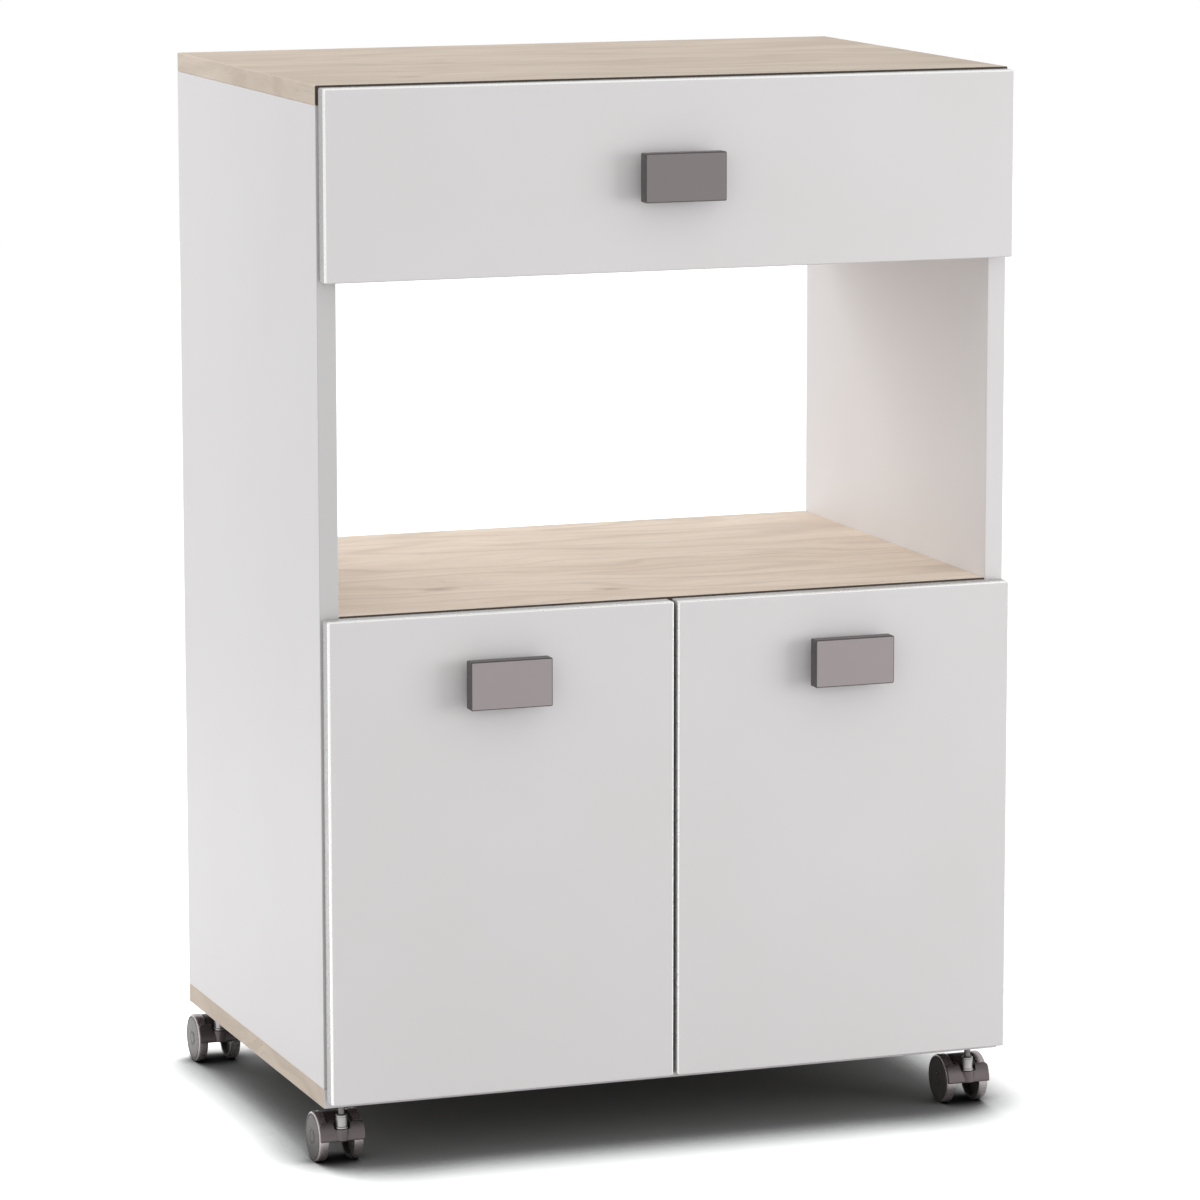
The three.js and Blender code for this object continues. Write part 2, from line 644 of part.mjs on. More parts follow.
/** Runners and rollers of both sides, beside the drawer. */
function makeRunners() {
  const runners = new THREE.Group();
  runners.position.set(0, 0, runnerBase);
  const drawerMemberStart = frontBackPlane + drawerRunnerSetback;
  for (const [label, side] of [['left', -1], ['right', 1]]) {
    const wall = side * innerHalf;
    const rollerX = wall - side * rollerCentre;
    const roller = cut(rod(rollerRadius, rollerWidth, 'x'),
      rod(rollerPinRadius + rollerPinClearance, 2 * rollerWidth, 'x'));
    runners.add(
      piece(`cabinet_runner_${label}`, cabinetRunnerGeometry(side), runnerWhite(),
        [wall, runnerSetback, 0]),
      piece(`drawer_runner_${label}`, drawerRunnerGeometry(side), runnerWhite(),
        [wall, drawerMemberStart, 0]),
      piece(`cabinet_roller_${label}`, roller, nylon(),
        [rollerX, runnerSetback + frontRollerFromEnd, frontRollerHeight]),
      piece(`drawer_roller_${label}`, roller.clone(), nylon(),
        [rollerX, drawerMemberStart + drawerRunnerLength - rearRollerFromEnd, rearRollerHeight]),
    );
  }
  return runners;
}

// ---------------------------------------------------------------- casters

/** Twin-wheel caster hood: web between the wheels, fender round their front, seat for the stem. */
function hoodGeometry() {
  const axle = new THREE.Vector2(casterTrail, axleHeight);
  const inner = wheelRadius + hoodFenderToWheel;
  const outer = inner + hoodFenderThickness;
  const nose = (inner + outer) / 2;
  const shoulder = hoodFenderTopAngle + hoodFenderLap;
  const side = new THREE.Shape();
  side.moveTo(axle.x - nose, hoodUnderside);
  side.lineTo(axle.x + nose * Math.cos(shoulder), axle.y + nose * Math.sin(shoulder));
  side.absarc(axle.x, axle.y, hoodWebRadius, shoulder, hoodHeelAngle, true);
  side.absarc(axle.x, axle.y, hoodAxleBossRadius, hoodHeelAngle, hoodHeelAngle - hoodBossSweep, true);
  side.lineTo(axle.x - hoodWebFromAxle, hoodUnderside);
  const web = widenedAlongX(side, wheelSpacing - 2 * hoodSideGap, fenderSteps);

  const section = new THREE.Shape();
  section.absarc(axle.x, axle.y, outer, Math.PI, hoodFenderTopAngle, true);
  section.absarc(axle.x, axle.y, inner, hoodFenderTopAngle, Math.PI, false);
  const fenderWidth = wheelSpacing + 2 * (wheelWidth - hoodFenderSideInset);
  const fender = widenedAlongX(section, fenderWidth, bendSteps);

  const seatRadius = stemCollarRadius + hoodSeatMargin;
  const stemBoss = rod(seatRadius, hoodTop - hoodUnderside, 'z', smallSides)
    .translate(0, 0, (hoodTop + hoodUnderside) / 2);
  const notchHalf = stemCollarRadius + hoodCollarNotch;
  const notch = block([-notchHalf, -outer, hoodTop], [notchHalf, seatRadius, 2 * hoodTop]);

  const stemBore = rod(stemRadius + stemBoreClearance, 3 * hoodTop, 'z');
  const axleBore = rod(axleRadius + axleClearance / 2, 2 * wheelSpacing, 'x')
    .translate(0, axle.x, axle.y);
  return cut(join(web, fender, stemBoss), notch, stemBore, axleBore);
}

/** Stem: threaded upper end in the board, collar over the hood, pin in the hood. */
function stemGeometry() {
  const collarBottom = hoodTop + stemBoreClearance;
  const collarTop = carcassUnderside - stemNeckLength;
  const stemTop = carcassUnderside + stemInBoard;
  return new THREE.LatheGeometry([
    new THREE.Vector2(0, hoodUnderside),
    new THREE.Vector2(stemRadius, hoodUnderside),
    new THREE.Vector2(stemRadius, collarBottom),
    new THREE.Vector2(stemCollarRadius, collarBottom),
    new THREE.Vector2(stemCollarRadius, collarTop),
    new THREE.Vector2(stemRadius, collarTop),
    new THREE.Vector2(stemRadius, stemTop),
    new THREE.Vector2(0, stemTop),
  ], roundSides).rotateX(Math.PI / 2);
}

/** One wheel along +y from its inner face: hub, dished inner side, rounded tread, closed disc. */
function wheelGeometry() {
  const bore = axleRadius + axleClearance;
  const rim = wheelRadius - wheelRimDepth;
  const profile = [
    [0, axleSeatDepth + axleClearance],
    [bore, axleSeatDepth + axleClearance],
    [bore, 0],
    [wheelHubRadius, 0],
    [wheelHubRadius + wheelRecessDraft, wheelRecess],
    [rim - wheelRecessDraft, wheelRecess],
    [rim, 0],
    [wheelRadius - wheelTreadRound, 0],
    [wheelRadius, wheelTreadRound],
    [wheelRadius, wheelWidth - wheelTreadRound],
    [wheelRadius - wheelTreadRound, wheelWidth - wheelDishDepth],
    [rim, wheelWidth - wheelDishDepth],
    [0, wheelWidth],
  ];
  const points = profile.map(([radius, width]) => new THREE.Vector2(radius, width));
  return new THREE.LatheGeometry(points, wheelSides, Math.PI / wheelSides);
}

/** One caster; the group's origin is its swivel axis on the floor. */
function makeCaster({ name, x, y }) {
  const caster = new THREE.Group();
  caster.position.set(x, y, 0);
  const axleHalf = wheelSpacing / 2 + axleSeatDepth;
  const axle = rod(axleRadius, 2 * axleHalf, 'x');
  caster.add(
    piece(`caster_${name}_stem`, stemGeometry(), steel()),
    piece(`caster_${name}_hood`, hoodGeometry(), casterGrey()),
    piece(`caster_${name}_axle`, axle, steel(), [0, casterTrail, axleHeight]),
  );
  for (const [label, side] of [['left', -1], ['right', 1]]) {
    const wheel = piece(`caster_${name}_wheel_${label}`, wheelGeometry(), casterGrey(),
      [side * wheelSpacing / 2, casterTrail, axleHeight]);
    wheel.rotation.z = -side * Math.PI / 2;
    caster.add(wheel);
  }
  return caster;
}

// ---------------------------------------------------------------- the whole cart

const cart = new THREE.Group();
cart.name = 'microwave_cart';
cart.add(
  makeCarcass(),
  makeInnerShelf(),
  makeRunners(),
  makeDrawer(),
  makeHingeArms('left', -1),
  makeHingeArms('right', 1),
  makeDoor('left', -1),
  makeDoor('right', 1),
  ...casterSpots.map(makeCaster),
);

const frontReach = handleProjection - frontFacePlane;
const rearReach = Math.max(
  carcassDepth + backThickness,
  carcassDepth - casterRearInset + casterTrail + treadFlat,
);
cart.position.y = (frontReach - rearReach) / 2;

export default cart;
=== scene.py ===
"""Looks of a two-tone microwave cart: board carcass, drawer, two doors, twin-wheel casters.

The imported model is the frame, and every piece takes its place from it. Metres, +Z up, front
towards -Y. Each finished piece is a closed mesh in place, with its object at the origin.
"""

from __future__ import annotations

import json
import logging
import math
from dataclasses import dataclass, field
from enum import Enum
from typing import Iterable, Sequence

import bmesh
import bpy
import numpy as np
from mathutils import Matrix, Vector
from mathutils.geometry import tessellate_polygon

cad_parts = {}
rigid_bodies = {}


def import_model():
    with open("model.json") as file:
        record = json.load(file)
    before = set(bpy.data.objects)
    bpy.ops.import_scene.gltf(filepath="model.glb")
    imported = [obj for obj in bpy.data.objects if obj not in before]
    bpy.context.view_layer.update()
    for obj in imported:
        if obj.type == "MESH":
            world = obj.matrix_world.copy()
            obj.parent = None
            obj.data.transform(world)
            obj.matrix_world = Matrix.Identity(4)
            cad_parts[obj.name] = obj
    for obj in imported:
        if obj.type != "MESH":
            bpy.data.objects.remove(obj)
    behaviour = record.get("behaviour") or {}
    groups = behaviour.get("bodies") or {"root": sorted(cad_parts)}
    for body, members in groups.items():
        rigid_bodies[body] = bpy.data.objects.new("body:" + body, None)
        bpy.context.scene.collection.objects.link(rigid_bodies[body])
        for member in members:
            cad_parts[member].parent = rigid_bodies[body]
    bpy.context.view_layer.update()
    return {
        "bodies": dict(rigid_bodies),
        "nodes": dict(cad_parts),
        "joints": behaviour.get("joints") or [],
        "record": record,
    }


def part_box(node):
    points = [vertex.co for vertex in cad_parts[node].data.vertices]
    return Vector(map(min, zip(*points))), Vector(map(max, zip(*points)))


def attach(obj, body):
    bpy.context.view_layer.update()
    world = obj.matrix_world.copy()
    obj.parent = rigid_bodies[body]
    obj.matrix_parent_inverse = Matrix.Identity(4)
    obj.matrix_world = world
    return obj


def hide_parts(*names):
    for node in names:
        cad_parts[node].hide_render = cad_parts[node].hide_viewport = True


logging.basicConfig(level=logging.INFO, format="%(message)s")
log = logging.getLogger("microwave cart")

Array = np.ndarray
Socket = bpy.types.NodeSocket
Colour = tuple[float, float, float]
Value = Socket | float | tuple[float, ...]
MM = 0.001
CREASE = math.radians(38)
WELD = 2e-6
X, Y, Z = (1.0, 0.0, 0.0), (0.0, 1.0, 0.0), (0.0, 0.0, 1.0)
DOWN = (0.0, 0.0, -1.0)
CORNERS = ("front_left", "front_right", "rear_left", "rear_right")
FACE_AXES = {0: (1, 2, 0), 1: (0, 2, 1), 2: (0, 1, 2)}
Cells = tuple[float, float, float]
Line = tuple[tuple[float, float], ...]


class Side(Enum):
    """Left or right half of the cart, seen from the front; the value is its sign along x."""

    LEFT = -1
    RIGHT = 1

    @property
    def word(self) -> str:
        """The side as it stands in names."""
        return self.name.lower()


# ------------------------------------------------------------------ surfaces


@dataclass
class Shell:
    """Points and faces of one closed shell, or of several.

    Attributes:
        points: One row of three for each point.
        faces: Point numbers of each face.
        tones: Which of the piece's finishes each face takes.
    """

    points: Array
    faces: list[list[int]]
    tones: list[int]

    def __add__(self, other: Shell) -> Shell:
        """Both shells side by side.

        Args:
            other: The second shell, whose points are numbered on from the first's.

        Returns:
            One shell with the points and faces of both.
        """
        shift = len(self.points)
        faces = self.faces + [[i + shift for i in face] for face in other.faces]
        return Shell(np.vstack([self.points, other.points]), faces, self.tones + other.tones)

    def turned(self, right: Sequence[float], deep: Sequence[float], up: Sequence[float]) -> Shell:
        """The shell with its own x, y and z axes laid along three directions."""
        return Shell(self.points @ np.array([right, deep, up], float), self.faces, self.tones)

    def moved(self, *offset: float) -> Shell:
        """The shell shifted by an offset."""
        return Shell(self.points + np.array(offset, float), self.faces, self.tones)


def gathered(shells: Iterable[Shell]) -> Shell:
    """All shells as one.

    Args:
        shells: The shells, at least one.

    Returns:
        One shell with their points and faces in order.
    """
    first, *others = shells
    for other in others:
        first = first + other
    return first


def skin(grid: Array, loop_u: bool = False, loop_v: bool = False, tone: int = 0) -> Shell:
    """Quads between neighbours of a grid of points.

    Args:
        grid: Points as rows (u) and columns (v), shape (u, v, 3).
        loop_u: Whether the last row joins the first.
        loop_v: Whether the last column joins the first.
        tone: Finish number of its faces.

    Returns:
        The open or closed surface.
    """
    rows, columns = grid.shape[:2]
    index = np.arange(rows * columns).reshape(rows, columns)
    if loop_u:
        index = np.vstack([index, index[:1]])
    if loop_v:
        index = np.hstack([index, index[:, :1]])
    corners = [index[:-1, :-1], index[1:, :-1], index[1:, 1:], index[:-1, 1:]]
    quads = np.stack(corners, axis=-1).reshape(-1, 4)
    return Shell(grid.reshape(-1, 3), quads.tolist(), [tone] * len(quads))


def cap(loop: Array, holes: Sequence[Array] = (), tone: int = 0) -> Shell:
    """Flat face inside a loop of points, less the holes.

    Args:
        loop: Points round the face, shape (n, 3).
        holes: Loops of points round each hole.
        tone: Finish number of its faces.

    Returns:
        One many-sided face, or triangles where there are holes.
    """
    if not holes:
        return Shell(loop, [list(range(len(loop)))], [tone])
    loops = [loop, *holes]
    triangles = tessellate_polygon([[Vector(p) for p in one] for one in loops])
    return Shell(np.vstack(loops), [list(t) for t in triangles], [tone] * len(triangles))


def eased(corners: Sequence[Sequence[float]], reach: float, steps: int = 4, closed: bool = True) -> Array:
    """Polygon or open line with each corner rounded by an arc.

    The arc starts and ends the reach away from its corner P, or half the shorter edge where
    that is less. With unit directions u and v along the two edges, and w half the angle
    between them, its centre is P + (u + v) / |u + v| * reach / cos w. The unit vectors from
    there to its two ends are turned into each other evenly, by slerp.

    Args:
        corners: Corner points, shape (k, 2).
        reach: Distance from the corner at which the rounding starts.
        steps: Stretches of line in each rounding.
        closed: Whether the last corner joins the first.

    Returns:
        Points of the rounded line, shape (n, 2).
    """
    p = np.array(corners, float)
    before, after = np.roll(p, 1, axis=0) - p, np.roll(p, -1, axis=0) - p
    length_before = np.linalg.norm(before, axis=1, keepdims=True)
    length_after = np.linalg.norm(after, axis=1, keepdims=True)
    u, v = before / length_before, after / length_after
    tangent = np.minimum(reach, np.minimum(length_before, length_after) / 2)
    half = np.arccos(np.clip(np.sum(u * v, axis=1, keepdims=True), -1, 1)) / 2
    bisector = (u + v) / np.linalg.norm(u + v, axis=1, keepdims=True)
    centre = p + bisector * tangent / np.cos(half)
    start, end = p + u * tangent - centre, p + v * tangent - centre
    sweep = (math.pi - 2 * half)[:, None]
    s = np.linspace(0, 1, steps + 1)[None, :, None]
    turned = np.sin((1 - s) * sweep) * start[:, None] + np.sin(s * sweep) * end[:, None]
    curves = centre[:, None] + turned / np.sin(sweep)
    if not closed:
        return np.vstack([p[:1], curves[1:-1].reshape(-1, 2), p[-1:]])
    line = curves.reshape(-1, 2)
    apart = np.linalg.norm(line - np.roll(line, 1, axis=0), axis=1) > WELD
    return line[apart]


def box_outline(width: float, height: float, corner: float, steps: int = 4) -> Array:
    """Rectangle round the origin with rounded corners, anticlockwise."""
    x, y = width / 2, height / 2
    return eased([(-x, -y), (x, -y), (x, y), (-x, y)], corner, steps)


def circle(radius: float, sides: int, centre: Sequence[float] = (0.0, 0.0)) -> Array:
    """Regular polygon of points at one distance from a centre, anticlockwise."""
    turn = np.arange(sides) / sides * 2 * math.pi
    return np.stack([np.cos(turn), np.sin(turn)], axis=1) * radius + np.array(centre)


def inset(outline: Array, distance: float) -> Array:
    """Outline drawn in by a distance.

    Each point moves along the sum of its two edges' inward normals n1 and n2, scaled by
    distance / (1 + n1.n2), which keeps both edges parallel to themselves.

    Args:
        outline: Points anticlockwise round the shape, shape (n, 2).
        distance: How far the edges move inwards.

    Returns:
        The smaller outline, with as many points.
    """
    edges = np.roll(outline, -1, axis=0) - outline
    normals = np.stack([-edges[:, 1], edges[:, 0]], axis=1)
    normals /= np.linalg.norm(normals, axis=1, keepdims=True)
    before = np.roll(normals, 1, axis=0)
    spread = 1 + np.sum(normals * before, axis=1, keepdims=True)
    return outline + (normals + before) / np.maximum(spread, 0.2) * distance


def strip(path: Array, thickness: float) -> Array:
    """Outline of a sheet of even thickness that follows an open line.

    The line is moved along its normals by half the thickness to either side. A point's normal
    is the mean of those of its two stretches, lengthened so that each stretch keeps its width.

    Args:
        path: Points of the middle line, shape (n, 2).
        thickness: Sheet thickness.

    Returns:
        Closed outline, anticlockwise, shape (2n, 2).
    """
    run = np.diff(path, axis=0)
    run /= np.linalg.norm(run, axis=1, keepdims=True)
    normal = np.stack([-run[:, 1], run[:, 0]], axis=1)
    first, second = np.vstack([normal[:1], normal]), np.vstack([normal, normal[-1:]])
    middle = (first + second) / (1 + np.sum(first * second, axis=1, keepdims=True))
    return np.vstack([path - middle * thickness / 2, (path + middle * thickness / 2)[::-1]])


@dataclass(frozen=True)
class Bore:
    """Blind round hole in a slab: its centre on the face, its radius and depth, and its side."""

    centre: tuple[float, float]
    radius: float
    depth: float
    opens_high: bool = True
    sides: int = 32


def slab(
    outline: Array,
    thickness: float,
    edge: float,
    bores: Sequence[Bore] = (),
    tones: tuple[int, int, int, int] = (0, 0, 0, 0),
    steps: int = 3,
) -> Shell:
    """Plate of any outline, with quarter-round edges and blind holes.

    The outline is carried from z = 0 to z = thickness. Near either face it is drawn in by
    edge (1 - sin a) at a height of edge (1 - cos a), for a from 0 to a right angle.

    Args:
        outline: Anticlockwise points of the plate in x and y.
        thickness: Extent along z.
        edge: Radius of the rounding along both faces.
        bores: Holes in either face.
        tones: Finish numbers of the low face, the rim, the high face and the holes.
        steps: Stretches in each quarter round.

    Returns:
        The closed plate.
    """
    angle = np.linspace(0, math.pi / 2, steps + 1)
    sunk, rise = edge * (1 - np.sin(angle)), edge * (1 - np.cos(angle))
    levels = np.concatenate([rise, thickness - rise[::-1]])
    rings = [inset(outline, s) for s in np.concatenate([sunk, sunk[::-1]])]
    heights = [np.full((len(outline), 1), level) for level in levels]
    rim = np.stack([np.hstack([ring, height]) for ring, height in zip(rings, heights)])
    parts = [skin(rim, loop_v=True, tone=tones[1])]
    for high, ring, tone in ((False, rim[0], tones[0]), (True, rim[-1], tones[2])):
        mouths = []
        for bore in (b for b in bores if b.opens_high == high):
            round_line = circle(bore.radius, bore.sides, bore.centre)
            level = thickness if high else 0.0
            floor = level + (-bore.depth if high else bore.depth)
            mouth = np.hstack([round_line, np.full((bore.sides, 1), level)])
            bottom = np.hstack([round_line, np.full((bore.sides, 1), floor)])
            mouths.append(mouth)
            parts.append(skin(np.stack([mouth, bottom]), loop_v=True, tone=tones[3]))
            parts.append(cap(bottom, tone=tones[3]))
        parts.append(cap(ring, mouths, tone))
    return gathered(parts)


def lathe(profile: Sequence[Sequence[float]], sides: int, ring: bool = False, tone: int = 0) -> Shell:
    """Profile of radius and height turned round z: (r cos t, r sin t, h).

    Args:
        profile: Points of radius and height. It starts and ends on the axis, or is a ring.
        sides: Steps in a full turn.
        ring: Whether the profile closes on itself.
        tone: Finish number of its faces.

    Returns:
        The closed solid of revolution.
    """
    line = np.array(profile, float)
    turn = np.arange(sides) / sides * 2 * math.pi
    x = line[:, :1] * np.cos(turn)
    y = line[:, :1] * np.sin(turn)
    z = np.repeat(line[:, 1:], sides, axis=1)
    return skin(np.stack([x, y, z], axis=-1), loop_u=ring, loop_v=True, tone=tone)


def pin(radius: float, length: float, chamfer: float, sides: int = 32) -> Shell:
    """Round bar along z, centred on the origin, with chamfered ends.

    Args:
        radius: Bar radius.
        length: Length between its ends.
        chamfer: Width of the chamfer at each end.
        sides: Steps in a full turn.

    Returns:
        The closed bar.
    """
    half = length / 2
    profile = [(0, -half), (radius - chamfer, -half), (radius, chamfer - half)]
    return lathe(profile + [(r, -h) for r, h in reversed(profile)], sides)


def screw_head(radius: float, height: float, rows: int = 14, sides: int = 48) -> Shell:
    """Pan head with a cross recess, standing on z = 0.

    On a polar grid the top is a flat dome, height (1 - (r/R)^6), less a cross of seven tenths
    of the height: the recess is full where the nearer of |x| and |y| is under an eighth of the
    radius and the farther under nine sixteenths of it, and fades out over the next tenth.

    Args:
        radius: Head radius.
        height: Head height.
        rows: Rings of the grid.
        sides: Steps in a full turn.

    Returns:
        The closed head.
    """
    share = np.linspace(0, 1, rows + 1)[:, None]
    turn = (np.arange(sides) / sides * 2 * math.pi)[None, :]
    x, y = radius * share * np.cos(turn), radius * share * np.sin(turn)
    near, far = np.minimum(abs(x), abs(y)) / radius, np.maximum(abs(x), abs(y)) / radius
    half_width, side_fade, reach, end_fade, sink = 0.19, 0.07, 0.66, 0.10, 0.7
    arm = np.clip((half_width - near) / side_fade, 0, 1) * np.clip((reach - far) / end_fade, 0, 1)
    top = height * (1 - share**6) - sink * height * arm
    dome = np.stack([x, y, top], axis=-1)
    wall = np.stack([x[-1], y[-1], np.zeros(sides)], axis=-1)
    return skin(dome, loop_v=True) + cap(wall)


# ------------------------------------------------------------------ finishes


class NodeSheet:
    """A node tree, emptied, and short ways to add nodes to it."""

    def __init__(self, tree: bpy.types.NodeTree) -> None:
        """Starts on that tree."""
        self.tree = tree
        self.tree.nodes.clear()

    def feed(self, socket: Socket, value: Value) -> None:
        """Links another socket to an input, or sets a plain value.

        Args:
            socket: The input.
            value: The other socket, or the value; a colour is given without its alpha.
        """
        if isinstance(value, bpy.types.NodeSocket):
            self.tree.links.new(value, socket)
        elif isinstance(value, tuple) and socket.type == "RGBA":
            socket.default_value = (*value, 1.0)
        else:
            socket.default_value = value

    def add(self, kind: str, inputs: dict[int | str, Value], output: int | str = 0,
            **settings: object) -> Socket:
        """Adds a node.

        Args:
            kind: Node type without its ShaderNode prefix.
            inputs: Values or sockets for its inputs, by name or number.
            output: Which output to hand back.
            **settings: The node's own settings.

        Returns:
            The chosen output socket.
        """
        node = self.tree.nodes.new("ShaderNode" + kind)
        for name, value in settings.items():
            setattr(node, name, value)
        for name, value in inputs.items():
            self.feed(node.inputs[name], value)
        return node.outputs[output]

    def finish(self, kind: str, surface: Socket) -> None:
        """Adds the tree's output node."""
        output = self.tree.nodes.new("ShaderNode" + kind)
        self.tree.links.new(surface, output.inputs["Surface"])

    def place(self, stretch: tuple[float, float, float] = (1, 1, 1)) -> Socket:
        """The point's own place on the piece, scaled along each axis."""
        return self.add("Mapping", {"Vector": self.add("TexCoord", {}, output="Object"), "Scale": stretch})

    def noise(self, vector: Socket, scale: float, detail: float = 3.0, rough: float = 0.5) -> Socket:
        """Cloudy pattern from 0 to 1."""
        inputs = {"Vector": vector, "Scale": scale, "Detail": detail, "Roughness": rough}
        return self.add("TexNoise", inputs)

    def span(self, value: Value, low: float, high: float, to_low: float, to_high: float,
             shape: str = "LINEAR") -> Socket:
        """A value taken from one span to another, and held at the ends."""
        inputs = {"Value": value, 1: low, 2: high, 3: to_low, 4: to_high}
        return self.add("MapRange", inputs, interpolation_type=shape)

    def maths(self, operation: str, *values: Value) -> Socket:
        """Numbers combined by a Math node."""
        return self.add("Math", dict(enumerate(values)), operation=operation)

    def vector(self, operation: str, first: Value, second: Value) -> Socket:
        """Vectors combined by a Vector Math node."""
        return self.add("VectorMath", {0: first, 1: second}, operation=operation)

    def length(self, vector: Value) -> Socket:
        """Length of a vector."""
        return self.add("VectorMath", {0: vector}, output="Value", operation="LENGTH")

    def mixed(self, share: Value, first: Value, second: Value) -> Socket:
        """Two colours mixed by a share."""
        return self.add("Mix", {0: share, 6: first, 7: second}, output=2, data_type="RGBA")

    def blended(self, value: Value, low: float, high: float, first: Value, second: Value,
                most: float = 1.0) -> Socket:
        """Two colours mixed by up to a share, as a value climbs through a span."""
        return self.mixed(self.span(value, low, high, 0.0, most), first, second)

    def about(self, value: Value, middle_value: float, below: float, above: float) -> Socket:
        """A noise value turned into one that strays from a middle value by a little."""
        return self.span(value, 0.3, 0.7, middle_value - below, middle_value + above)


class CoatSheet(NodeSheet):
    """A material with one principled shader."""

    def __init__(self, name: str) -> None:
        """Starts a material of that name."""
        self.material = bpy.data.materials.new(name)
        self.material.use_nodes = True
        super().__init__(self.material.node_tree)
        self.shader = self.tree.nodes.new("ShaderNodeBsdfPrincipled")
        self.finish("OutputMaterial", self.shader.outputs[0])

    def set(self, **sockets: Value) -> None:
        """Sets or links the shader's sockets, written with _ for each space."""
        for name, value in sockets.items():
            self.feed(self.shader.inputs[name.replace("_", " ")], value)

    def bump(self, height: Socket, depth: float, strength: float = 1.0) -> None:
        """Raises the surface by a height pattern of that depth in metres."""
        inputs = {"Strength": strength, "Distance": depth, "Height": height}
        self.set(Normal=self.add("Bump", inputs))


def shaded(colour: Colour, factor: float) -> Colour:
    """A colour made darker or lighter by a factor, and no lighter than white."""
    return tuple(min(part * factor, 1.0) for part in colour)


@dataclass(frozen=True)
class Layer:
    """One pattern of a print: its cells, the values between which it sets in, and its share."""

    cells: Cells
    low: float
    high: float
    most: float = 1.0


@dataclass(frozen=True)
class OakDecor:
    """Printed rough-sawn oak: pale clouds and streaks, flame lines, short pores, small knots.

    The print runs along the first axis of the piece's grain map, which is in metres. Each
    pattern has its cells per metre along and across the grain, and its detail. The layers are
    laid over the pale ground in order: two of tan, then four of the shadow's colour.
    """

    name: str
    pale: Colour
    tan: Colour
    shadow: Colour = (0.30, 0.225, 0.165)
    knots: tuple[tuple[float, float], ...] = ()
    wander: Cells = (3.1, 7.0, 2.0)
    sway: float = 0.022
    clouds: Layer = Layer((4.2, 21.0, 4.0), 0.34, 0.66)
    streaks: Layer = Layer((8.0, 110.0, 4.0), 0.52, 0.78, 0.75)
    flames: Layer = Layer((1.1, 7.5, 1.0), 0.45, 1.0, 0.16)
    ring_density: float = 75.0
    fibres: Layer = Layer((22.0, 620.0, 3.0), 0.55, 0.75, 0.18)
    pores: Layer = Layer((70.0, 1700.0, 1.0), 0.64, 0.74, 0.30)
    flecks: Layer = Layer((36.0, 90.0, 3.0), 0.66, 0.80, 0.30)
    knot_bend: float = 0.016
    knot_field: Cells = (11.0, 30.0, 0.0)
    knot_size: Cells = (60.0, 90.0, 0.0)
    knot_rag: float = 0.35
    knot_span: tuple[float, float] = (0.1, 1.2)
    knot_share: float = 0.55
    gloss: float = 0.59
    shine: float = 0.28
    grain_depth: float = 0.04 * MM

    def material(self) -> bpy.types.Material:
        """Builds the material.

        Returns:
            The oak film.
        """
        sheet = CoatSheet(self.name)
        flat = sheet.add("UVMap", {}, uv_map="grain")
        sway = sheet.about(self.pattern(sheet, flat, self.wander), 0.0, self.sway, self.sway)
        for x, y in self.knots:
            near = self.from_spot(sheet, flat, x, y, self.knot_field)
            sway = sheet.maths("ADD", sway, sheet.span(near, 0.0, 1.0, self.knot_bend, 0.0))
        bent = sheet.vector("ADD", flat, sheet.add("CombineXYZ", {0: 0.0, 1: sway, 2: 0.0}))
        clouds, streaks, flames, fibres, pores = (
            self.pattern(sheet, bent, layer.cells)
            for layer in (self.clouds, self.streaks, self.flames, self.fibres, self.pores)
        )
        flecks = self.pattern(sheet, flat, self.flecks.cells)
        rings = sheet.maths("SINE", sheet.maths("MULTIPLY", flames, self.ring_density))
        colour = self.pale
        for value, layer, tone in (
            (clouds, self.clouds, self.tan),
            (streaks, self.streaks, self.tan),
            (rings, self.flames, self.shadow),
            (fibres, self.fibres, self.shadow),
            (pores, self.pores, self.shadow),
            (flecks, self.flecks, self.shadow),
        ):
            colour = sheet.blended(value, layer.low, layer.high, colour, tone, layer.most)
        for x, y in self.knots:
            near = self.from_spot(sheet, bent, x, y, self.knot_size)
            ragged = sheet.maths("ADD", near, sheet.about(flecks, 0.0, self.knot_rag, self.knot_rag))
            share = sheet.span(ragged, *self.knot_span, self.knot_share, 0.0)
            colour = sheet.mixed(share, colour, self.shadow)
        sheet.set(
            Base_Color=colour,
            Roughness=sheet.about(fibres, self.gloss, 0.05, 0.05),
            Specular_IOR_Level=self.shine,
        )
        sheet.bump(sheet.maths("ADD", fibres, pores), self.grain_depth, 0.5)
        return sheet.material

    @staticmethod
    def pattern(sheet: NodeSheet, place: Socket, cells: Cells) -> Socket:
        """Cloudy pattern on the grain map."""
        along, across, detail = cells
        return sheet.noise(sheet.vector("MULTIPLY", place, (along, across, 1.0)), 1.0, detail, 0.6)

    @staticmethod
    def from_spot(sheet: NodeSheet, place: Socket, x: float, y: float, scale: Cells) -> Socket:
        """How far a place on the grain map is from a spot, in lengths of its own per metre."""
        return sheet.length(sheet.vector("MULTIPLY", sheet.vector("SUBTRACT", place, (x, y, 0.0)), scale))


